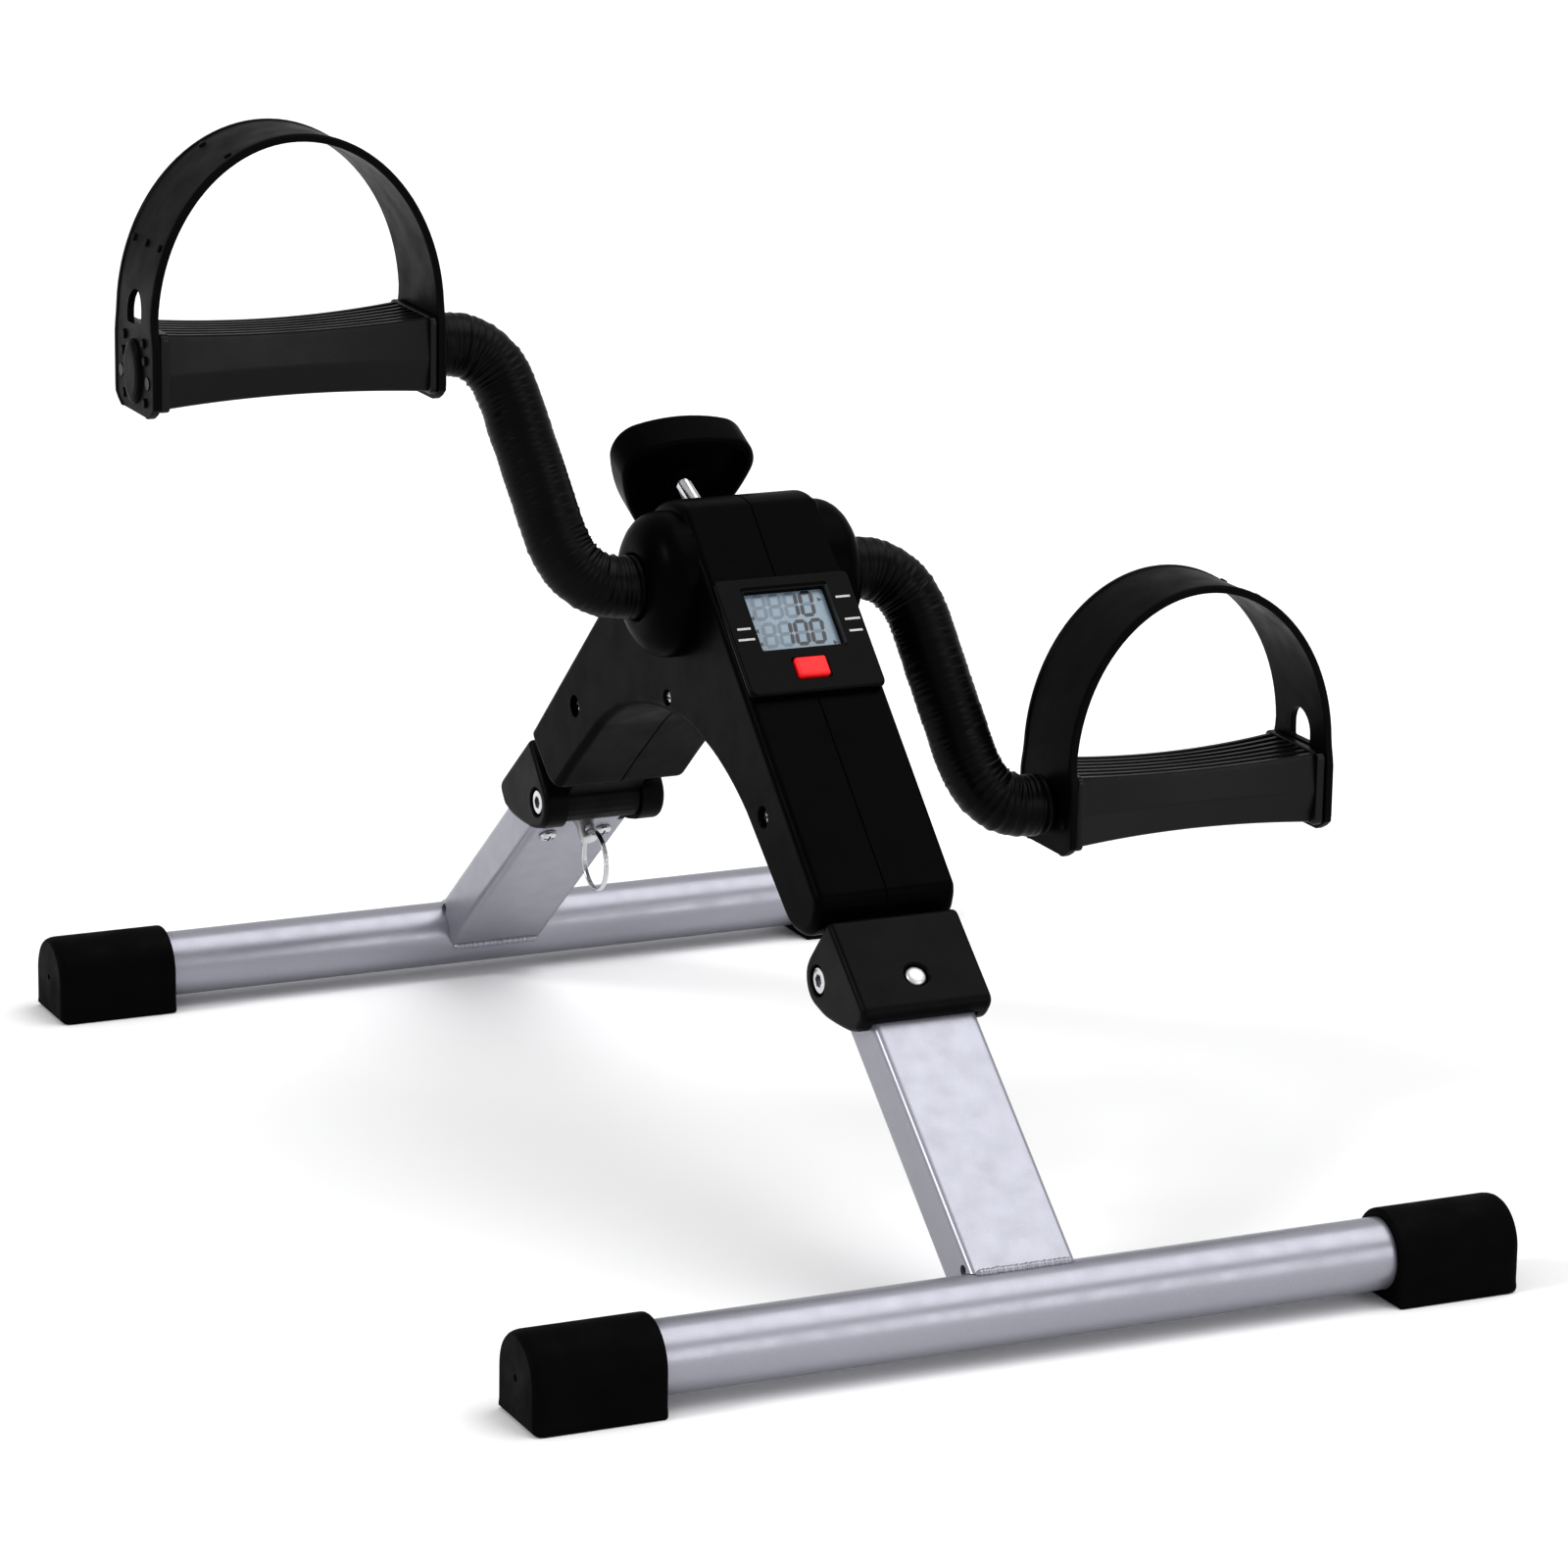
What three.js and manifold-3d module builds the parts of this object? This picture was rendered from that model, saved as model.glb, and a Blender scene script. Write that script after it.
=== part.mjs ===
// Folding pedal exerciser. Millimetres, +Z up, X along the foot tubes, -Y is the display side.
import * as THREE from 'three';
import { mergeVertices } from 'three/addons/utils/BufferGeometryUtils.js';
import Module from 'manifold-3d';

const wasm = await Module();
wasm.setup();

// ---- driving dimensions ----
const GAP = 0.3;                 // assembly clearance between neighbouring pieces
const FOOT_R = 12.7;             // one inch foot tube
const FOOT_WALL = 1.5;
const FOOT_Y = 241.6;            // foot tube axes at +-Y
const FOOT_Z = 15.7;
const FOOT_HALF = 180;
const CAP_WALL = 3.0;
const CAP_INNER_X = 137;
const CAP_OUTER_X = 184.5;
const LEG_W = 40;
const LEG_T = 19;
const LEG_WALL = 1.6;
const LEG_ANGLE = 39.5;          // slope of both legs, degrees
const LEG_N0 = -1.8;             // inner face of the leg, below the hinge axis line
const HINGE_Y = 127.5;
const HINGE_Z = 99.8;
const CRANK_Y = -3;
const CRANK_Z = 214.5;
const CRANK_DY = 40.5;           // pedal spindle offset from the axle, left pedal up
const CRANK_DZ = 85;
const ARM_SLOPE = 43.5;          // slope of both housing arms, degrees
const HOUSING_HALF = 27;
const HOUSING_WALL = 2.6;
const TOP_R = 30;
const FRONT_D = 26.5;            // lower front face, distance from the axle
const REAR_D = 28;
const KNOB_ELEV = 25.5;          // tension screw axis above horizontal, pointing to the rear
const TENSION_ROD_R = 3;         // M6 screw
const CORNER_D = 16.8;           // knob corners: centre distance and radius
const CORNER_R = 11.7;
const BULGE_D = 40.9;            // how far behind the axis the bulging sides are centred
const COVER_HALF = 25;
const COVER_TOP = 23;
const PIN_S = 16.4;              // lock pin position along the leg
const LEG_SCREW_S = 28;          // the two screws that hold the leg in its hinge cover
const LEG_SCREW_X = 11.5;
const LEG_SCREW_R = 1.6;
const PEDAL_IN = 109.3;          // pedal flange faces
const PEDAL_OUT = 212.2;
const STRAP_T = 3;
const STRAP_HALF = 19;
const STRAP_RISE = 81.5;         // strap apex above the spindle

// ---- small solid-modelling kit ----
const rad = (deg) => deg * Math.PI / 180;

function solid(geometry) {
  const g = geometry.clone();
  g.deleteAttribute('normal');
  g.deleteAttribute('uv');
  const m = mergeVertices(g, 1e-4);
  return new wasm.Manifold(new wasm.Mesh({
    numProp: 3,
    vertProperties: new Float32Array(m.attributes.position.array),
    triVerts: new Uint32Array(m.index.array),
  }));
}

function geometryOf(body) {
  const mesh = body.getMesh();
  const g = new THREE.BufferGeometry();
  const pos = new Float32Array(mesh.numVert * 3);
  for (let i = 0; i < mesh.numVert; i += 1) {
    for (let k = 0; k < 3; k += 1) {
      pos[3 * i + k] = mesh.vertProperties[mesh.numProp * i + k];
    }
  }
  g.setAttribute('position', new THREE.BufferAttribute(pos, 3));
  g.setIndex(new THREE.BufferAttribute(new Uint32Array(mesh.triVerts), 1));
  return g;
}

const minus = (a, ...cuts) => cuts.reduce((acc, c) => acc.subtract(c), a);
const plus = (a, ...more) => more.reduce((acc, c) => acc.add(c), a);

function box(x0, x1, y0, y1, z0, z1, frame) {
  const g = new THREE.BoxGeometry(x1 - x0, y1 - y0, z1 - z0);
  g.translate((x0 + x1) / 2, (y0 + y1) / 2, (z0 + z1) / 2);
  if (frame) g.applyMatrix4(frame);
  return solid(g);
}

// cylinder of radius r between two points
function rod(r, from, to, frame, segs = 16) {
  const a = new THREE.Vector3(...from);
  const b = new THREE.Vector3(...to);
  const axis = b.clone().sub(a);
  const g = new THREE.CylinderGeometry(r, r, axis.length(), segs);
  const turn = new THREE.Quaternion();
  turn.setFromUnitVectors(new THREE.Vector3(0, 1, 0), axis.clone().normalize());
  g.applyQuaternion(turn);
  g.translate((a.x + b.x) / 2, (a.y + b.y) / 2, (a.z + b.z) / 2);
  if (frame) g.applyMatrix4(frame);
  return solid(g);
}

// outline [[u, v], ...] in a frame's first two axes, extruded from w0 to w1 along its third
function prism(outline, w0, w1, frame, bevel = 0) {
  const shape = new THREE.Shape(outline.map(([u, v]) => new THREE.Vector2(u, v)));
  const g = new THREE.ExtrudeGeometry(shape, {
    depth: w1 - w0 - 2 * bevel,
    bevelEnabled: bevel > 0,
    bevelThickness: bevel,
    bevelSize: bevel,
    bevelOffset: -bevel,
    bevelSegments: 1,
    curveSegments: 8,
  });
  g.translate(0, 0, w0 + bevel);
  if (frame) g.applyMatrix4(frame);
  return solid(g);
}

const basis = (u, v, w, o) => new THREE.Matrix4()
  .makeBasis(new THREE.Vector3(...u), new THREE.Vector3(...v), new THREE.Vector3(...w))
  .setPosition(...o);

// side profiles are drawn in (y, z) and extruded along X
const SIDE = basis([0, 1, 0], [0, 0, 1], [1, 0, 0], [0, 0, 0]);

// frame of a sloping member: first axis down the slope, second its outward normal, third +-X
function slopeFrame(front, angle, y, z) {
  const c = Math.cos(rad(angle));
  const s = Math.sin(rad(angle));
  const k = front ? -1 : 1;
  return basis([0, k * c, -s], [0, k * s, c], [k, 0, 0], [0, y, z]);
}

const legFrame = (front) => slopeFrame(front, LEG_ANGLE, front ? -HINGE_Y : HINGE_Y, HINGE_Z);
const armFrame = (front) => slopeFrame(front, ARM_SLOPE, CRANK_Y, CRANK_Z);

function at(frame, u, v) {
  const p = new THREE.Vector3(u, v, 0).applyMatrix4(frame);
  return [p.y, p.z];
}

function arc(cy, cz, r, a0, a1, n) {
  const pts = [];
  for (let i = 0; i <= n; i += 1) {
    const a = rad(a0 + (a1 - a0) * i / n);
    pts.push([cy + r * Math.cos(a), cz + r * Math.sin(a)]);
  }
  return pts;
}

// moves every edge of a counter-clockwise outline inwards by d
function inset(outline, d) {
  const n = outline.length;
  const line = (i) => {
    const [ay, az] = outline[i];
    const [by, bz] = outline[(i + 1) % n];
    const l = Math.hypot(by - ay, bz - az);
    const ny = -(bz - az) / l;
    const nz = (by - ay) / l;
    return { y: ay + ny * d, z: az + nz * d, dy: (by - ay) / l, dz: (bz - az) / l };
  };
  return outline.map((_, i) => {
    const a = line((i + n - 1) % n);
    const b = line(i);
    const det = a.dy * b.dz - a.dz * b.dy;
    if (Math.abs(det) < 1e-3) return [b.y, b.z];
    const t = ((b.y - a.y) * b.dz - (b.z - a.z) * b.dy) / det;
    return [a.y + a.dy * t, a.z + a.dz * t];
  });
}

// skin through equal-length sections, each a list of [x, y, z]
function loft(sections) {
  const n = sections[0].length;
  const pos = sections.flat(2);
  const idx = [];
  for (let s = 0; s < sections.length - 1; s += 1) {
    for (let i = 0; i < n; i += 1) {
      const a = s * n + i;
      const b = s * n + (i + 1) % n;
      idx.push(a, b, b + n, a, b + n, a + n);
    }
  }
  const flat = sections[0].map((p) => new THREE.Vector2(p[1], p[2]));
  const last = (sections.length - 1) * n;
  for (const [i, j, k] of THREE.ShapeUtils.triangulateShape(flat, [])) {
    idx.push(k, j, i, last + i, last + j, last + k);
  }
  const g = new THREE.BufferGeometry();
  g.setAttribute('position', new THREE.BufferAttribute(new Float32Array(pos), 3));
  g.setIndex(idx);
  return solid(g);
}

// round bar or tube along a path of points
function sweep(points, radius, hole, steps, segs) {
  const path = new THREE.CatmullRomCurve3(points.map((p) => new THREE.Vector3(...p)), false, 'centripetal');
  const ring = (r, n) => {
    const pts = [];
    for (let i = 0; i < n; i += 1) {
      const a = 2 * Math.PI * i / n;
      pts.push(new THREE.Vector2(r * Math.cos(a), r * Math.sin(a)));
    }
    return pts;
  };
  const shape = new THREE.Shape(ring(radius, segs));
  if (hole > 0) shape.holes.push(new THREE.Path(ring(hole, segs)));
  return solid(new THREE.ExtrudeGeometry(shape, { steps, bevelEnabled: false, extrudePath: path }));
}

// ring or dome turned about the X axis through (y, z); profile is a closed list of [radius, x]
function turned(profile, y, z, segs = 22) {
  const pts = profile.map(([r, x]) => new THREE.Vector2(r, x));
  pts.push(pts[0].clone());
  const g = new THREE.LatheGeometry(pts, segs);
  g.applyMatrix4(basis([0, 0, 1], [1, 0, 0], [0, 1, 0], [0, y, z]));
  return g;
}

const material = (color, roughness, metalness = 0) =>
  new THREE.MeshStandardMaterial({ color, roughness, metalness });
const BLACK_ABS = () => material(0x17171a, 0.45);
const BLACK_RUBBER = () => material(0x101011, 0.8);
const BLACK_VINYL = () => material(0x131315, 0.65);
const SILVER_PAINT = () => material(0xa7a7b3, 0.35, 0.6);
const STEEL = () => material(0x9a9ca0, 0.35, 0.9);
const CHROME = () => material(0xd8d8da, 0.15, 1.0);

const exerciser = new THREE.Group();
exerciser.name = 'folding_pedal_exerciser';

function piece(name, body, mat) {
  const mesh = new THREE.Mesh(geometryOf(body), mat);
  mesh.name = name;
  exerciser.add(mesh);
}

// ---- housing ----
const frontArm = armFrame(true);
const rearArm = armFrame(false);

function archOutline() {
  // underside of the housing from the rear arm round to the front arm
  const archR = 115;
  const archTop = 166;
  const half = 66.7;
  const a = Math.asin(half / archR) * 180 / Math.PI;
  return arc(CRANK_Y, archTop - archR, archR, 90 - a, 90 + a, 6);
}

function housingOutline() {
  const tangent = Math.acos(REAR_D / TOP_R) * 180 / Math.PI;
  const rearAngle = 90 - ARM_SLOPE - tangent;
  return [
    at(rearArm, 156, 25),
    at(rearArm, 155, REAR_D),
    ...arc(CRANK_Y, CRANK_Z, TOP_R, rearAngle, 90 + ARM_SLOPE - 26, 6),
    at(frontArm, 17, FRONT_D),
    at(frontArm, 150, FRONT_D),
    at(frontArm, 153, 24),
    [-128.5, 119.5],
    [-121, 113.5],
    [-108, 113.5],
    [-94.5, 124.5],
    ...archOutline().reverse(),
    [88.5, 124.5],
    [104.5, 110.5],
    [112, 112.5],
  ];
}

const outline = housingOutline();
const SCREWS = [at(frontArm, 105, 8), at(rearArm, 109.7, 12.6), [-0.4, 171.5]];
const SCREW_HEAD_X = -20;
const knobDir = [Math.cos(rad(KNOB_ELEV)), Math.sin(rad(KNOB_ELEV))];
const onKnobAxis = (t, x = 0) => [x, CRANK_Y + t * knobDir[0], CRANK_Z + t * knobDir[1]];
// across X, downwards, outwards along the tension screw
const knobFrame = basis(
  [1, 0, 0],
  [0, knobDir[1], -knobDir[0]],
  [0, knobDir[0], knobDir[1]],
  [0, CRANK_Y, CRANK_Z],
);

function housingShell(side) {
  const cut = 0.15;
  const mirror = (x0, x1) => (side < 0 ? [-x1, -x0] : [x0, x1]);
  const [o0, o1] = mirror(-6, HOUSING_HALF);
  const [i0, i1] = mirror(-8, HOUSING_HALF - HOUSING_WALL);
  let shell = prism(outline, o0, o1, SIDE, 2.5);
  shell = minus(shell, prism(inset(outline, HOUSING_WALL), i0, i1, SIDE));
  // raised boss the crank arm comes out of, and the bush seat behind it
  const boss = [[12.2, 24.6], [26.5, 24.6], [26.5, 31], [25.6, 34.5], [22.5, 38.5], [17.5, 41.2],
    [12.2, 41.8]];
  const seat = [[13, 15.4], [16, 15.4], [16, 25], [13, 25]];
  for (const profile of [boss, seat]) {
    const g = turned(profile, CRANK_Y, CRANK_Z);
    if (side < 0) g.applyMatrix4(new THREE.Matrix4().makeRotationZ(Math.PI));
    if (side < 0) g.translate(0, 2 * CRANK_Y, 0);
    shell = plus(shell, solid(g));
  }
  SCREWS.forEach(([y, z], i) => {
    const inner = i === 2 ? cut : 15.5;
    shell = plus(shell, rod(4.6, [side * inner, y, z], [side * 25, y, z], null, 12));
  });
  shell = minus(
    shell,
    rod(13, [side * 10, CRANK_Y, CRANK_Z], [side * 27.6, CRANK_Y, CRANK_Z], null, 22),
    rod(12.2, [side * 20, CRANK_Y, CRANK_Z], [side * 45, CRANK_Y, CRANK_Z], null, 22),
  );
  for (const [y, z] of SCREWS) {
    shell = minus(shell, rod(1.9 + GAP, [side * -1, y, z], [side * 23, y, z], null, 10));
    if (side < 0) shell = minus(shell, rod(3.6, [-30, y, z], [SCREW_HEAD_X, y, z], null, 14));
  }
  // openings: display, frame bars at both arm ends, tension screw
  shell = minus(
    shell,
    box(21, 63, 20, 32, -21.5, 21.5, frontArm),
    box(140, 175, 0.5, 19.5, -15.5, 15.5, frontArm),
    box(140, 175, 0.5, 19.5, -15.5, 15.5, rearArm),
    rod(TENSION_ROD_R + 0.8, onKnobAxis(20), onKnobAxis(40)),
  );
  // keep only this half
  return shell.intersect(side < 0
    ? box(-60, -cut, -300, 300, 0, 400)
    : box(cut, 60, -300, 300, 0, 400));
}
piece('left_housing_shell', housingShell(-1), BLACK_ABS());
piece('right_housing_shell', housingShell(1), BLACK_ABS());

for (const [i, [y, z]] of SCREWS.entries()) {
  const screw = plus(
    rod(1.9, [SCREW_HEAD_X - 0.5, y, z], [22, y, z], null, 10),
    rod(3.2, [SCREW_HEAD_X - 2.6, y, z], [SCREW_HEAD_X - GAP, y, z], null, 14),
  );
  piece(`housing_screw_${i + 1}`, screw, CHROME());
}

// ---- steel frame bars, each with its axle ears, hinge barrel and lock cheeks ----
function frameBar(front) {
  const arm = armFrame(front);
  const leg = legFrame(front);
  const hy = front ? -HINGE_Y : HINGE_Y;
  const earX = front ? [12.4, 13.5] : [13.8, 14.9];
  const end = front ? 162 : 166;
  let bar = box(32, end, 4, 16, -15, 15, arm);
  bar = minus(bar, box(34, end - 16, 6, 14, -13, 13, arm));
  bar = plus(bar, rod(8.5, [-15, hy, HINGE_Z], [15, hy, HINGE_Z], null, 20));
  for (const k of [-1, 1]) {
    const x0 = Math.min(k * earX[0], k * earX[1]);
    const x1 = Math.max(k * earX[0], k * earX[1]);
    const ear = [[-9, -9], [0, -13], [9, -9], [44, 4.5], [44, 15.5], [9, 11], [0, 13], [-9, 9]];
    bar = plus(bar, prism(ear, x0, x1, arm));
    const cheek = [[-12, 3], [0, 3], [6, 10.8], [16, 10.8], [14.5, 13.3], [-6, 15], [-14, 11]];
    const c0 = Math.min(k * 5, k * 12.5);
    const c1 = Math.max(k * 5, k * 12.5);
    bar = plus(bar, prism(cheek, c0, c1, leg));
  }
  const [y, z] = SCREWS[front ? 0 : 1];
  return minus(
    bar,
    rod(8 + GAP, [-20, CRANK_Y, CRANK_Z], [20, CRANK_Y, CRANK_Z], null, 20),
    rod(3 + GAP, [-20, hy, HINGE_Z], [20, hy, HINGE_Z], null, 14),
    rod(2.5, [-20, y, z], [20, y, z], null, 10),
  );
}
piece('front_frame_bar', frameBar(true), STEEL());
piece('rear_frame_bar', frameBar(false), STEEL());

for (const [name, k] of [['left_axle_bush', -1], ['right_axle_bush', 1]]) {
  const bush = minus(
    rod(12.6, [k * 15.6, CRANK_Y, CRANK_Z], [k * 27.2, CRANK_Y, CRANK_Z], null, 24),
    rod(8.35, [k * 10, CRANK_Y, CRANK_Z], [k * 30, CRANK_Y, CRANK_Z], null, 20),
  );
  piece(name, bush, material(0xd8d4c4, 0.5));
}

// ---- display computer, in the front arm's frame ----
const PANEL = [[17.6, -25], [19, -26.4], [65.5, -26.4], [67.2, -24.6], [67.2, 24.6], [65.5, 26.4],
  [19, 26.4], [17.6, 25]];
// first axis down the slope, second across, third out of the face
const panelFrame = basis(
  [0, -Math.cos(rad(ARM_SLOPE)), -Math.sin(rad(ARM_SLOPE))],
  [1, 0, 0],
  [0, -Math.sin(rad(ARM_SLOPE)), Math.cos(rad(ARM_SLOPE))],
  [0, CRANK_Y, CRANK_Z],
);
const panel = (outlinePts, w0, w1, bevel = 0) => {
  const pts = outlinePts.map(([u, v]) => [v, u]);
  const f = basis(
    [1, 0, 0],
    [0, -Math.cos(rad(ARM_SLOPE)), -Math.sin(rad(ARM_SLOPE))],
    [0, Math.sin(rad(ARM_SLOPE)), -Math.cos(rad(ARM_SLOPE))],
    [0, CRANK_Y, CRANK_Z],
  );
  return prism(pts, -w1, -w0, f, bevel);
};
const rect = (u0, u1, v) => [[u0, -v], [u1, -v], [u1, v], [u0, v]];
const PANEL_D = 29.6;
let bezel = panel(PANEL, FRONT_D + GAP, PANEL_D, 0.8);
bezel = minus(
  bezel,
  panel(rect(23.8, 47.7, 15.3), 20, 40),
  panel(rect(52.4, 62, 7), 20, 40),
);
piece('display_bezel', bezel, material(0x0f0f11, 0.3));
piece('lcd_glass', panel(rect(22.2, 49.4, 17.2), 24.4, FRONT_D), material(0x7f94a3, 0.1));
piece('circuit_board', panel(rect(22.4, 61.8, 20.5), 21, 22.6), material(0x1f5a34, 0.6));
piece('button_cell', rod(5.8, [0, 0, 0], [0, 0, 3.2],
  panelFrame.clone().multiply(new THREE.Matrix4().makeTranslation(42, 0, 17.3)), 18), CHROME());
const button = plus(
  panel(rect(53.1, 61.3, 6.2), 24, 31, 0.6),
  panel(rect(51.4, 62.8, 8.4), 24, 25.9),
);
piece('reset_button', button, material(0xd8141c, 0.35));

// ---- tension adjuster ----
let bracket = prism([[-20, -7], [20, -7], [20, 7], [-20, 7]], 22, 26, knobFrame);
bracket = minus(bracket, rod(TENSION_ROD_R + GAP, onKnobAxis(20), onKnobAxis(30)));
piece('tension_bracket', bracket, STEEL());
const pad = prism([[-9, -8], [9, -8], [9, 8], [-9, 8]], 15, 18.5, knobFrame);
piece('brake_pad', pad, material(0x5b4a3a, 0.9));
piece('tension_screw', rod(TENSION_ROD_R, onKnobAxis(18.9), onKnobAxis(66), null, 18), CHROME());
// three-sided grip with round corners and bulging sides, one corner pointing down
const grip = [];
const bulgeTurn = Math.atan2(
  CORNER_D * Math.sin(rad(60)),
  BULGE_D + CORNER_D * Math.cos(rad(60)),
) * 180 / Math.PI;
const bulgeR = CORNER_D * Math.sin(rad(60)) / Math.sin(rad(bulgeTurn)) + CORNER_R;
for (const corner of [90, 210, 330]) {
  const [u, v] = [CORNER_D * Math.cos(rad(corner)), CORNER_D * Math.sin(rad(corner))];
  const side = corner + 60;
  const [bu, bv] = [-BULGE_D * Math.cos(rad(side)), -BULGE_D * Math.sin(rad(side))];
  grip.push(
    ...arc(u, v, CORNER_R, corner - 60 + bulgeTurn, corner + 60 - bulgeTurn, 4),
    ...arc(bu, bv, bulgeR, side - bulgeTurn, side + bulgeTurn, 3).slice(1, -1),
  );
}
let knob = prism(grip, 54, 71, knobFrame, 2);
knob = minus(knob, rod(TENSION_ROD_R + GAP, onKnobAxis(50), onKnobAxis(66.5), null, 18));
piece('tension_knob', knob, BLACK_ABS());

// ---- crank ----
let axle = plus(
  rod(8, [-27, CRANK_Y, CRANK_Z], [27, CRANK_Y, CRANK_Z], null, 20),
  rod(14, [-12, CRANK_Y, CRANK_Z], [12, CRANK_Y, CRANK_Z], null, 22),
);
for (const k of [-1, 1]) {
  axle = minus(axle, rod(5.3, [k * 14, CRANK_Y, CRANK_Z], [k * 30, CRANK_Y, CRANK_Z], null, 14));
}
piece('crank_axle', axle, STEEL());

const CRANK_R = Math.hypot(CRANK_DY, CRANK_DZ);
function crankPoint(k, x, r) {
  // k = -1 is the left arm, which points up at rest
  return [k * x, CRANK_Y - k * r * CRANK_DY / CRANK_R, CRANK_Z - k * r * CRANK_DZ / CRANK_R];
}
// centre line: along the axle, out along the sloping arm, along the spindle
const ARM_PATH = [[27.3, 0], [36, 0], [45, 0], [53, 1.2], [60, 5.2], [65.2, 11.8], [68.2, 20], [71.5, 39], [74.8, 58],
  [77.6, 74], [80.6, 83], [86, 90], [93, 93.4], [100, CRANK_R], [103, CRANK_R]];
for (const [side, k] of [['left', -1], ['right', 1]]) {
  const path = ARM_PATH.map(([x, r]) => crankPoint(k, x, r));
  let arm = sweep(path, 6.8, 0, 17, 10);
  arm = plus(
    arm,
    rod(5, crankPoint(k, 15, 0), crankPoint(k, 30, 0), null, 14),
    rod(6, crankPoint(k, 101, CRANK_R), crankPoint(k, 207, CRANK_R), null, 16),
  );
  piece(`${side}_crank_arm`, arm, STEEL());
  const sleevePath = ARM_PATH.slice(1, -1).map(([x, r]) => crankPoint(k, x, r));
  piece(`${side}_crank_sleeve`, sweep(sleevePath, 11.3, 8.2, 16, 12), BLACK_VINYL());
}

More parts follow.
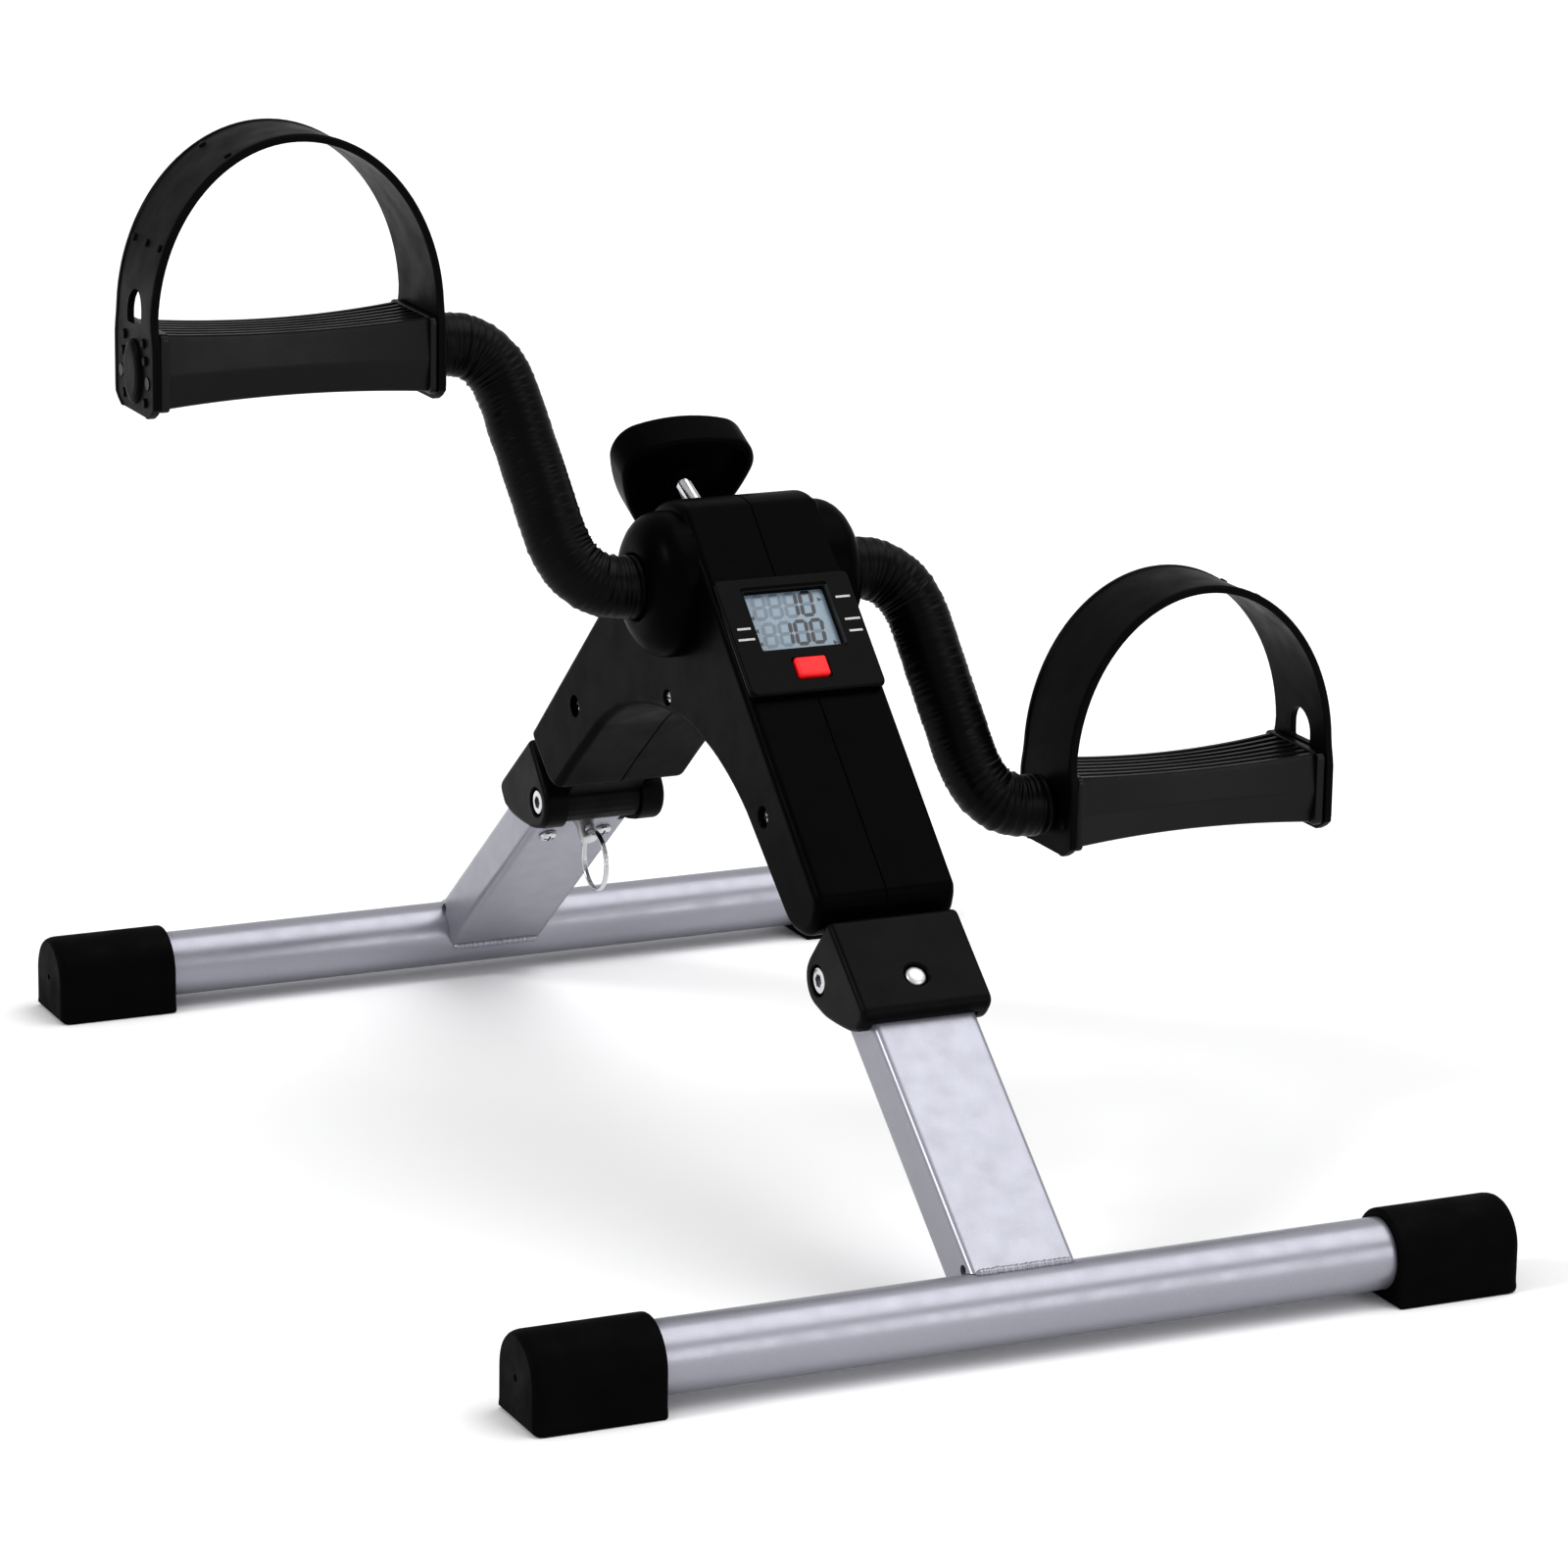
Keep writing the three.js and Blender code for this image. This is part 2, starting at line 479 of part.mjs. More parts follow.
// ---- pedals ----
function pedal(side, k) {
  const [, cy, cz] = crankPoint(k, 0, CRANK_R);
  const half = (PEDAL_OUT - PEDAL_IN) / 2;
  const mid = (PEDAL_OUT + PEDAL_IN) / 2;
  const ribs = 7;
  const section = (x) => {
    const u = (x - mid) / half;
    const w = 16.2 + 3.1 * u * u;        // half depth, waisted
    const top = 11 + 2.6 * u * u;
    const low = -11.8 - 1.8 * u * u;
    const pts = [[-w + 1, low], [w - 1, low], [w, -0.5], [w, top - 1.4]];
    const step = 2 * (w - 0.8) / (2 * ribs - 1);
    for (let i = 0; i < ribs; i += 1) {
      const y = w - 0.8 - 2 * i * step;
      pts.push([y, top], [y - step, top]);
      if (i < ribs - 1) pts.push([y - step - 0.15, top - 1.4], [y - 2 * step + 0.15, top - 1.4]);
    }
    pts.push([-w, top - 1.4], [-w, -0.5]);
    return pts.map(([y, z]) => [k * x, cy + y, cz + z]);
  };
  const xs = [];
  for (let i = 0; i <= 4; i += 1) xs.push(PEDAL_IN + 2 + (2 * half - 4) * i / 4);
  if (k < 0) xs.reverse();
  let body = loft(xs.map(section));
  const flange = [[-20, -14], [20, -14], [20, 12], [18, 14], [-18, 14], [-20, 12]];
  const flangeAt = (x0, x1) => prism(
    flange.map(([y, z]) => [cy + y, cz + z]),
    Math.min(k * x0, k * x1), Math.max(k * x0, k * x1), SIDE,
  );
  body = plus(body, flangeAt(PEDAL_IN, PEDAL_IN + 2.6), flangeAt(PEDAL_OUT - 4.5, PEDAL_OUT));
  const pegs = [[-14, -4], [14, -4]];
  for (const [y, z] of pegs) {
    body = plus(
      body,
      rod(2.2, [k * (PEDAL_OUT - 1), cy + y, cz + z], [k * (PEDAL_OUT + 4.2), cy + y, cz + z], null, 10),
      rod(2.2, [k * (PEDAL_IN + 1), cy + y, cz + z], [k * (PEDAL_IN - 4.2), cy + y, cz + z], null, 10),
    );
  }
  body = minus(
    body,
    rod(6.35, [k * 100, cy, cz], [k * 220, cy, cz], null, 16),
    rod(9.6, [k * 201, cy, cz], [k * 220, cy, cz], null, 18),
  );
  piece(`${side}_pedal_body`, body, BLACK_ABS());

  // retaining nut on the spindle end
  const nut = minus(
    rod(8.6, [k * 202, cy, cz], [k * 208, cy, cz], null, 6),
    rod(6 + GAP, [k * 200, cy, cz], [k * 220, cy, cz], null, 16),
  );
  piece(`${side}_spindle_nut`, nut, STEEL());

  // strap: one band arched over the pedal, its two ends forming the side plates
  const inX = PEDAL_IN - GAP;
  const outX = PEDAL_OUT + GAP;
  const cx = (inX + outX) / 2;
  const a = (outX - inX) / 2;
  const shoulder = 15.5;
  const b = STRAP_RISE - STRAP_T - shoulder;
  const band = (grow) => {
    const pts = [[cx + a + grow, -16.5]];
    for (let i = 0; i <= 14; i += 1) {
      const t = Math.PI * i / 14;
      pts.push([cx + (a + grow) * Math.cos(t), shoulder + (b + grow) * Math.sin(t)]);
    }
    pts.push([cx - a - grow, -16.5]);
    return pts;
  };
  const loop = [...band(STRAP_T), ...band(0).reverse()].map(([x, z]) => [k * x, cz + z]);
  if (k < 0) loop.reverse();
  const bandFrame = basis([1, 0, 0], [0, 0, 1], [0, -1, 0], [0, cy, 0]);
  let strap = prism(loop, -STRAP_HALF, STRAP_HALF, bandFrame);
  // side plates are a little deeper than the band, with clipped lower corners
  const plate = [[-21, -12], [-16, -16.5], [16, -16.5], [21, -12], [21, 9], [19, 15], [-19, 15], [-21, 9]];
  for (const [x0, x1] of [[inX - STRAP_T, inX], [outX, outX + STRAP_T]]) {
    strap = plus(strap, prism(
      plate.map(([y, z]) => [cy + y, cz + z]),
      Math.min(k * x0, k * x1), Math.max(k * x0, k * x1), SIDE,
    ));
  }
  const oval = arc(0, 0, 1, 0, 350, 17).map(([y, z]) => [cy + 7 * y, cz - 2 + 11 * z]);
  strap = plus(strap, prism(oval, Math.min(k * outX, k * (outX + 4.6)),
    Math.max(k * outX, k * (outX + 4.6)), SIDE));
  for (const [y, z] of pegs) {
    strap = minus(strap, rod(2.2 + GAP, [k * 90, cy + y, cz + z], [k * 230, cy + y, cz + z], null, 10));
  }
  const window = [[-6.5, 15.5], [6.5, 15.5], [5.5, 19], [3, 23.5], [0, 25.5], [-3, 23.5], [-5.5, 19]];
  strap = minus(
    strap,
    rod(7.2, [k * 90, cy, cz], [k * 120, cy, cz], null, 16),
    prism(window.map(([y, z]) => [cy + y, cz + z]), Math.min(k * 200, k * 230),
      Math.max(k * 200, k * 230), SIDE),
  );
  piece(`${side}_strap`, strap, BLACK_RUBBER());
}
pedal('left', -1);
pedal('right', 1);

// ---- legs ----
function leg(side, front) {
  const f = legFrame(front);
  const sign = front ? -1 : 1;
  const footY = sign * FOOT_Y;
  const n1 = LEG_N0 + LEG_T;
  const [w, t] = [LEG_W / 2, LEG_T / 2];
  const section = (half, depth, c) => [[-half + c, -depth], [half - c, -depth], [half, -depth + c],
    [half, depth - c], [half - c, depth], [-half + c, depth], [-half, depth - c], [-half, -depth + c]];
  // section axes: across X, along the outward normal, extruded down the slope
  const e = f.elements;
  const along = [e[0], e[1], e[2]];
  const outward = [e[4], e[5], e[6]];
  const across = new THREE.Vector3(...outward).cross(new THREE.Vector3(...along));
  const tubeFrame = basis([across.x, across.y, across.z], outward, along, [0, sign * HINGE_Y, HINGE_Z])
    .multiply(new THREE.Matrix4().makeTranslation(0, LEG_N0 + t, 0));
  let tube = prism(section(w, t, 2), 9.6, 141.5, tubeFrame);
  tube = minus(
    tube,
    prism(section(w - LEG_WALL, t - LEG_WALL, 1), 0, 150, tubeFrame),
    box(0, 20.8, LEG_N0 + LEG_WALL, n1 + 1, -30, 30, f),
    box(0, 20.8, LEG_N0 - 1, n1 + 1, 15.5, 30, f),
    box(0, 20.8, LEG_N0 - 1, n1 + 1, -30, -15.5, f),
    rod(4 + GAP, [PIN_S, -20, 0], [PIN_S, 40, 0], f, 18),
    rod(FOOT_R + GAP, [-40, footY, FOOT_Z], [40, footY, FOOT_Z], null, 22),
  );
  for (const x of [-LEG_SCREW_X, LEG_SCREW_X]) {
    tube = minus(tube, rod(LEG_SCREW_R + GAP, [LEG_SCREW_S, -20, x], [LEG_SCREW_S, 40, x], f, 10));
  }
  piece(`${side}_leg_tube`, tube, SILVER_PAINT());

  const foot = minus(
    rod(FOOT_R, [-FOOT_HALF, footY, FOOT_Z], [FOOT_HALF, footY, FOOT_Z], null, 22),
    rod(FOOT_R - FOOT_WALL, [-FOOT_HALF - 5, footY, FOOT_Z], [FOOT_HALF + 5, footY, FOOT_Z], null, 20),
  );
  piece(`${side}_foot_tube`, foot, SILVER_PAINT());

  for (const [hand, k] of [['left', -1], ['right', 1]]) {
    const r = FOOT_R + CAP_WALL;
    const d = [[footY - r, 3], [footY - r + 3, 0], [footY + r - 3, 0], [footY + r, 3],
      ...arc(footY, FOOT_Z, r, 0, 180, 10)];
    let cap = prism(d, Math.min(k * CAP_INNER_X, k * CAP_OUTER_X), Math.max(k * CAP_INNER_X, k * CAP_OUTER_X),
      SIDE, 1.6);
    cap = minus(cap, rod(FOOT_R + GAP, [k * 120, footY, FOOT_Z], [k * (FOOT_HALF + 0.5), footY, FOOT_Z], null, 22));
    piece(`${side}_${hand}_cap`, cap, BLACK_RUBBER());
  }

  // hinge cover: front plate, side ears and bolt lobes in one moulding
  const cover = [[-9.5, COVER_TOP], [-10.3, 0], ...arc(0, 0, 10.3, 195, 300, 6), [12, -5.5], [20, 1],
    [27, 7.5], [31, 13.5], [31, COVER_TOP]];
  let shell = prism(cover, -COVER_HALF, COVER_HALF, f, 1.8);
  shell = minus(
    shell,
    box(20.5, 40, LEG_N0 - 12, n1 + GAP, -20.35, 20.35, f),
    rod(20.1, [0, 0, -15.6], [0, 0, 15.6], f, 26),
    box(-15, 0, -12, 20.1, -15.6, 15.6, f),
    box(-15, 22, -14, 8, -15.6, 15.6, f),
    rod(3 + GAP, [0, 0, -30], [0, 0, 30], f, 14),
    rod(5.9, [0, 0, 22], [0, 0, 30], f, 18),
    rod(5.9, [0, 0, -22], [0, 0, -30], f, 18),
    rod(4.7, [PIN_S, -15, 0], [PIN_S, 30, 0], f, 18),
  );
  for (const x of [-LEG_SCREW_X, LEG_SCREW_X]) {
    shell = minus(shell, rod(LEG_SCREW_R + GAP, [LEG_SCREW_S, 10, x], [LEG_SCREW_S, 21.4, x], f, 10));
  }
  piece(`${side}_hinge_cover`, shell, BLACK_ABS());

  // hinge bolt with its head on the left, nut on the right
  const hy = sign * HINGE_Y;
  const bolt = plus(
    rod(3, [-23, hy, HINGE_Z], [24.2, hy, HINGE_Z], null, 14),
    rod(4.6, [-24.4, hy, HINGE_Z], [-22 - GAP, hy, HINGE_Z], null, 18),
  );
  const socket = rod(1.9, [-26, hy, HINGE_Z], [-23.2, hy, HINGE_Z], null, 6);
  piece(`${side}_hinge_bolt`, minus(bolt, socket), CHROME());
  const nut = minus(
    rod(5.1, [22 + GAP, hy, HINGE_Z], [25, hy, HINGE_Z], null, 6),
    rod(3 + GAP, [20, hy, HINGE_Z], [30, hy, HINGE_Z], null, 14),
  );
  piece(`${side}_hinge_nut`, nut, CHROME());

  for (const [hand, x] of [['left', -LEG_SCREW_X * sign], ['right', LEG_SCREW_X * sign]]) {
    const on = (n) => [LEG_SCREW_S, n, x];
    const screw = plus(
      rod(LEG_SCREW_R, on(LEG_N0 - 0.8), on(21), f, 10),
      rod(3.4, on(LEG_N0 - GAP - 1.9), on(LEG_N0 - GAP), f, 16),
    );
    piece(`${side}_leg_screw_${hand}`, screw, CHROME());
  }

  let pin = plus(
    rod(4, [PIN_S, -3.4, 0], [PIN_S, 22.4, 0], f, 18),
    rod(3.6, [PIN_S, -11.2, 0], [PIN_S, -3.2, 0], f, 14),
  );
  pin = minus(pin, rod(2, [PIN_S - 10, -8, 0], [PIN_S + 10, -8, 0], f, 12));
  piece(`${side}_lock_pin`, pin, CHROME());

  const torus = new THREE.TorusGeometry(11.5, 1.1, 6, 18);
  torus.applyMatrix4(f.clone().multiply(new THREE.Matrix4().makeTranslation(PIN_S, -8 - 11.5, 0)));
  piece(`${side}_pull_ring`, solid(torus), CHROME());
}
leg('front', true);
leg('rear', false);

export default exerciser;
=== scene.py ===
"""Looks of the folding pedal exerciser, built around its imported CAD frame.

Shapes are drawn in millimetres in the row frame (+Z up, X along the foot tubes, -Y the display
side) and turned into metres when the mesh is made.
"""

import math
import random

import bmesh
import bpy
from mathutils import Matrix, Vector, noise


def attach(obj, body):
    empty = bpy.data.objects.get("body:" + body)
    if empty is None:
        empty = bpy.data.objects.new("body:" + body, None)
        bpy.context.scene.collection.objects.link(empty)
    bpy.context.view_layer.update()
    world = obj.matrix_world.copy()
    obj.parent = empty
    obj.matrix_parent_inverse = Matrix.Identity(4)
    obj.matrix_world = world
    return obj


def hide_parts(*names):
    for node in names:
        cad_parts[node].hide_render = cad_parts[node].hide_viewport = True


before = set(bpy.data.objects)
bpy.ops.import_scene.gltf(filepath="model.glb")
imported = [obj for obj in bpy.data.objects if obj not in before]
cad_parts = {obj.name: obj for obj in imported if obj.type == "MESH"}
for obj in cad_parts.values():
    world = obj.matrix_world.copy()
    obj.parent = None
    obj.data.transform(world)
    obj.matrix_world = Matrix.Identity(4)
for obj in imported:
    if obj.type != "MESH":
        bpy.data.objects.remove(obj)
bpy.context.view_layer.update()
scene = bpy.context.scene

# ---- driving dimensions, the same as the CAD's ----
MM = 0.001
FOOT_R = 12.7
FOOT_Y = 241.6
FOOT_Z = 15.7
FOOT_HALF = 180
LEG_W = 40
LEG_T = 19
LEG_N0 = -1.8
LEG_ANGLE = 39.5
HINGE_Y = 127.5
HINGE_Z = 99.8
CRANK_Y = -3
CRANK_Z = 214.5
CRANK_DY = 40.5
CRANK_DZ = 85
CRANK_R = math.hypot(CRANK_DY, CRANK_DZ)
ARM_SLOPE = 43.5
ARM_EXIT_HALF = 15.5
HOUSING_R = 30
HOUSING_HALF = 27
HOUSING_FILLET = 3.2
HOUSING_WALL = 2.6
KNOB_ELEV = 25.5
TENSION_ROD_R = 3
CORNER_D = 16.8
CORNER_R = 11.7
BULGE_D = 40.9
PIN_S = 16.4
PEDAL_IN = 109.3
PEDAL_OUT = 212.2
STRAP_T = 3
STRAP_RISE = 81.5
STRAP_HALF = 21
ARCH_SPRING = 15.5
PEG_Y = 14
PEG_Z = -4
SLEEVE_R = 11.25
SLEEVE_BORE_R = 8.4
HINGE_R = 10.3
COVER_HALF = 25
COVER_BORE_R = 20.1
BARREL_HALF = 15.6
LEG_SCREW_S = 28
LEG_SCREW_X = 11.5
CAP_WALL = 3
PIN_EYE_N = -8
RING_R = 11.5
RING_WIRE_R = 0.68


# ---- frames ----
def basis(u, v, w, o=(0, 0, 0)):
    return Matrix([[u[i], v[i], w[i], o[i]] for i in range(3)] + [[0, 0, 0, 1]])


def slope_frame(front, angle, y, z):
    """First axis down the slope, second its outward normal, third +-X."""
    c, s = math.cos(math.radians(angle)), math.sin(math.radians(angle))
    k = -1 if front else 1
    return basis((0, k * c, -s), (0, k * s, c), (k, 0, 0), (0, y, z))


def leg_frame(front):
    return slope_frame(front, LEG_ANGLE, -HINGE_Y if front else HINGE_Y, HINGE_Z)


def arm_frame(front):
    return slope_frame(front, ARM_SLOPE, CRANK_Y, CRANK_Z)


RIGHT_OUT = basis((0, 1, 0), (0, 0, 1), (1, 0, 0))
LEFT_OUT = basis((0, -1, 0), (0, 0, 1), (-1, 0, 0))


def out_frame(k, y, z):
    """Third axis along k*X, through (y, z)."""
    return Matrix.Translation((0, y, z)) @ (RIGHT_OUT if k > 0 else LEFT_OUT)


def at(f, u, v):
    p = f @ Vector((u, v, 0))
    return p.y, p.z


# ---- outlines: lists of (u, v) or (u, v, corner radius) ----
def arc(cu, cv, r, a0, a1, n):
    steps = [math.radians(a0 + (a1 - a0) * i / n) for i in range(n + 1)]
    return [(cu + r * math.cos(a), cv + r * math.sin(a)) for a in steps]


def inset(outline, d):
    """Moves every edge of a counter-clockwise outline inwards by d."""
    n = len(outline)

    def line(i):
        a, b = outline[i], outline[(i + 1) % n]
        length = math.hypot(b[0] - a[0], b[1] - a[1])
        du, dv = (b[0] - a[0]) / length, (b[1] - a[1]) / length
        return a[0] - dv * d, a[1] + du * d, du, dv

    out = []
    for i in range(n):
        a, b = line(i - 1), line(i)
        det = a[2] * b[3] - a[3] * b[2]
        corner = outline[i][2] if len(outline[i]) > 2 else 0
        if abs(det) < 1e-3:
            out.append((b[0], b[1], corner))
            continue
        t = ((b[0] - a[0]) * b[3] - (b[1] - a[1]) * b[2]) / det
        keep = corner - d if det > 0 else corner + d
        out.append((a[0] + a[2] * t, a[1] + a[3] * t, max(keep, 0.3) if corner else 0))
    return out


def soften(outline, n=5):
    """Rounds every corner that has a radius, always with the same number of points."""
    out = []
    count = len(outline)
    for i, p in enumerate(outline):
        r = p[2] if len(p) > 2 else 0
        if r <= 0:
            out.append((p[0], p[1]))
            continue
        here = Vector(p[:2])
        back = Vector(outline[i - 1][:2]) - here
        ahead = Vector(outline[(i + 1) % count][:2]) - here
        reach = min(r, back.length * 0.45, ahead.length * 0.45)
        p0, p2 = here + back.normalized() * reach, here + ahead.normalized() * reach
        for j in range(n + 1):
            t = j / n
            q = p0 * (1 - t) ** 2 + here * 2 * t * (1 - t) + p2 * t**2
            out.append((q.x, q.y))
    return out


# ---- mesh kit ----
def make(name, bm, f=None):
    if f is not None:
        bm.transform(f)
    bm.transform(Matrix.Scale(MM, 4))
    bmesh.ops.remove_doubles(bm, verts=bm.verts, dist=1e-7)
    bmesh.ops.recalc_face_normals(bm, faces=bm.faces)
    mesh = bpy.data.meshes.new(name)
    bm.to_mesh(mesh)
    bm.free()
    obj = bpy.data.objects.new(name, mesh)
    scene.collection.objects.link(obj)
    return obj


def skin(name, rings, f=None, loop=False):
    """Skin through rings of points; a ring of one point is a pole."""
    bm = bmesh.new()
    rings = [[bm.verts.new(p) for p in ring] for ring in rings]
    segs = max(len(r) for r in rings)
    pairs = list(zip(rings, rings[1:])) + ([(rings[-1], rings[0])] if loop else [])
    for a, b in pairs:
        for i in range(segs):
            j = (i + 1) % segs
            quad = [a[i % len(a)], a[j % len(a)], b[j % len(b)], b[i % len(b)]]
            face = [v for n, v in enumerate(quad) if v not in quad[:n]]
            if len(face) > 2:
                bm.faces.new(face)
    if not loop:
        for ring in (rings[0], rings[-1]):
            if len(ring) > 2:
                bm.faces.new(ring)
    return make(name, bm, f)


def prism(name, outline, w0, w1, f=None, rounding=0.0, steps=3):
    """Outline extruded along the third axis, its end edges rounded."""
    levels = [(w0, 0), (w1, 0)]
    if rounding:
        turn = [math.pi / 2 * i / steps for i in range(steps + 1)]
        low = [(w0 + rounding * (1 - math.sin(a)), rounding * (1 - math.cos(a))) for a in turn]
        levels = low[::-1] + [(w1 - (w - w0), d) for w, d in low]
    return lofted(name, outline, levels, f)


def lofted(name, outline, levels, f=None, soft=5):
    """Outline skinned through levels of (height, inset)."""
    rings = []
    for w, d in levels:
        flat = soften(inset(outline, d) if d else outline, soft)
        rings.append([(u, v, w) for u, v in flat])
    return skin(name, rings, f)


def block(name, x0, x1, y0, y1, z0, z1, f=None):
    return prism(name, [(x0, y0), (x1, y0), (x1, y1), (x0, y1)], z0, z1, f)


def turned(name, profile, f=None, segs=48, loop=False):
    """Profile of (radius, height) turned about the third axis."""
    rings = []
    for r, h in profile:
        if r < 1e-6:
            rings.append([(0, 0, h)])
            continue
        angles = [2 * math.pi * i / segs for i in range(segs)]
        rings.append([(r * math.cos(a), r * math.sin(a), h) for a in angles])
    return skin(name, rings, f, loop)


def rod(name, r, h0, h1, f, segs=48):
    return turned(name, [(r, h0), (r, h1)], f, segs)


def path_frames(points):
    """Rotation-minimising frames along a path: (point, side, up) each."""
    pts = [Vector(p) for p in points]
    tangents = []
    for i in range(len(pts)):
        tangents.append((pts[min(i + 1, len(pts) - 1)] - pts[max(i - 1, 0)]).normalized())
    side = tangents[0].orthogonal().normalized()
    out = []
    for p, t in zip(pts, tangents):
        side = (side - t * side.dot(t)).normalized()
        out.append((p, side, t.cross(side)))
    return out


def swept(name, points, radius, segs=24):
    """Round bar along points; radius is a number or a function of (index, angle)."""
    rings = []
    for i, (p, side, up) in enumerate(path_frames(points)):
        ring = []
        for j in range(segs):
            a = 2 * math.pi * j / segs
            r = radius(i, a) if callable(radius) else radius
            ring.append(tuple(p + side * (r * math.cos(a)) + up * (r * math.sin(a))))
        rings.append(ring)
    return skin(name, rings)


def through(points, step):
    """Centripetal Catmull-Rom curve through points, sampled about every step."""
    pts = [Vector(p) for p in points]
    pts = [pts[0] * 2 - pts[1]] + pts + [pts[-1] * 2 - pts[-2]]
    out = []
    for i in range(1, len(pts) - 2):
        p = pts[i - 1 : i + 3]
        t = [0.0]
        for a, b in zip(p, p[1:]):
            t.append(t[-1] + math.sqrt((b - a).length))
        n = max(1, round((p[2] - p[1]).length / step))
        for k in range(n):
            u = t[1] + (t[2] - t[1]) * k / n
            level = list(p)
            for depth in (1, 2, 3):
                new = []
                for j in range(len(level) - 1):
                    lo, hi = (t[1], t[2]) if depth == 3 else (t[j], t[j + depth])
                    w = (u - lo) / (hi - lo)
                    new.append(level[j].lerp(level[j + 1], w))
                level = new
            out.append(level[0])
    out.append(pts[-2])
    return out


def applied(obj):
    graph = bpy.context.evaluated_depsgraph_get()
    graph.update()
    mesh = bpy.data.meshes.new_from_object(obj.evaluated_get(graph))
    obj.modifiers.clear()
    obj.data = mesh
    return obj


def cut(obj, *tools, how="DIFFERENCE"):
    for tool in tools:
        m = obj.modifiers.new("cut", "BOOLEAN")
        m.operation = how
        m.solver = "EXACT"
        m.object = tool
        applied(obj)
        bpy.data.objects.remove(tool)
    return obj


def join(obj, *others):
    return cut(obj, *others, how="UNION")


def smooth(obj, angle=32, weighted=True):
    mesh = obj.data
    mesh.polygons.foreach_set("use_smooth", [True] * len(mesh.polygons))
    mesh.set_sharp_from_angle(angle=math.radians(angle))
    if weighted:
        m = obj.modifiers.new("normals", "WEIGHTED_NORMAL")
        m.keep_sharp = True
        m.mode = "FACE_AREA"
        applied(obj)
    return obj


def piece(obj, mat, body, slot, *nodes, angle=32, weighted=True):
    """Finishes a piece: shading, material, body and the nodes it stands for; slot is not used."""
    smooth(obj, angle, weighted)
    obj.data.materials.clear()
    obj.data.materials.append(mat)
    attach(obj, body)
    if nodes:
        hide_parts(*nodes)
    return obj


# ---- materials ----
class Finish:
    """A procedural material: a Principled surface with layers of colour, roughness and bump."""

    def __init__(self, name, colour, roughness, metallic=0.0, **sockets):
        self.material = bpy.data.materials.new(name)
        self.material.use_nodes = True
        self.tree = self.material.node_tree
        self.surface = self.tree.nodes["Principled BSDF"]
        self.surface.inputs["Metallic"].default_value = metallic
        for socket, value in sockets.items():
            self.surface.inputs[socket.replace("_", " ")].default_value = value
        self.coords = self.tree.nodes.new("ShaderNodeTexCoord").outputs["Object"]
        self.colour = None
        self.base = colour
        self.surface.inputs["Roughness"].default_value = roughness
        self.normal = None

    def node(self, kind, **values):
        n = self.tree.nodes.new(kind)
        for key, value in values.items():
            if hasattr(n, key):
                setattr(n, key, value)
            else:
                n.inputs[key].default_value = value
        return n

    def noise(self, scale, detail):
        n = self.node("ShaderNodeTexNoise", Scale=scale, Detail=detail)
        self.tree.links.new(self.coords, n.inputs["Vector"])
        return n.outputs["Fac"]

    def grain(self, scale):
        n = self.node("ShaderNodeTexVoronoi", Scale=scale, feature="SMOOTH_F1")
        self.tree.links.new(self.coords, n.inputs["Vector"])
        return n.outputs["Distance"]

    def edges(self, reach):
        """1 within reach millimetres of an edge, 0 on open faces."""
        low, high = 0.004, 0.06
        geometry = self.node("ShaderNodeNewGeometry")
        bevel = self.node("ShaderNodeBevel", samples=4, Radius=reach * MM)
        dot = self.node("ShaderNodeVectorMath", operation="DOT_PRODUCT")
        self.tree.links.new(bevel.outputs["Normal"], dot.inputs[0])
        self.tree.links.new(geometry.outputs["Normal"], dot.inputs[1])
        return self.span(dot.outputs["Value"], 1 - low, 1 - high, 0, 1)

    def span(self, value, a, b, c, d):
        n = self.node("ShaderNodeMapRange", clamp=True)
        for key, v in (("From Min", a), ("From Max", b), ("To Min", c), ("To Max", d)):
            n.inputs[key].default_value = v
        self.tree.links.new(value, n.inputs["Value"])
        return n.outputs["Result"]

    def tint(self, factor, colour, strength):
        """Mixes colour over what is there, by factor times strength."""
        n = self.node("ShaderNodeMix", data_type="RGBA")
        if self.colour is None:
            n.inputs[6].default_value = (*self.base, 1)
        else:
            self.tree.links.new(self.colour, n.inputs[6])
        n.inputs[7].default_value = (*colour, 1)
        self.tree.links.new(self.span(factor, 0, 1, 0, strength), n.inputs[0])
        self.colour = n.outputs[2]

    def polish(self, factor, low, high):
        """Varies the roughness from low to high by factor."""
        roughness = self.span(factor, 0.3, 0.7, low, high)
        self.tree.links.new(roughness, self.surface.inputs["Roughness"])

    def bump(self, height, strength, distance):
        n = self.node("ShaderNodeBump", Strength=strength, Distance=distance * MM)
        self.tree.links.new(height, n.inputs["Height"])
        if self.normal is not None:
            self.tree.links.new(self.normal, n.inputs["Normal"])
        self.normal = n.outputs["Normal"]

    def done(self):
        links = self.tree.links
        links.new(self.colour, self.surface.inputs["Base Color"])
        if self.normal is not None:
            links.new(self.normal, self.surface.inputs["Normal"])
        return self.material


def moulded(name, shade, low, high, grain_scale, grain_depth, specular=0.04):
    """Black moulded plastic: cloudy tone, spark-eroded grain, edges lightened partly as scuff wear
    and partly as a painted highlight.
    """
    cloud, scuff_and_sheen = shade * 1.5, shade * 3 + 0.004
    m = Finish(name, (shade, shade, shade * 1.05), low, Specular_IOR_Level=specular)
    m.tint(m.span(m.noise(38, 5), 0.4, 0.65, 0, 1), (cloud, cloud, shade * 1.55), 0.6)
    # lighter edges: partly scuff wear, partly a painted edge highlight
    m.tint(m.edges(0.5), (scuff_and_sheen, scuff_and_sheen, scuff_and_sheen + 0.0005), 0.5)
    m.polish(m.noise(90, 6), low, high)
    m.bump(m.grain(grain_scale), 0.5, grain_depth)
    m.bump(m.noise(260, 3), 0.25, 0.05)
    return m.done()


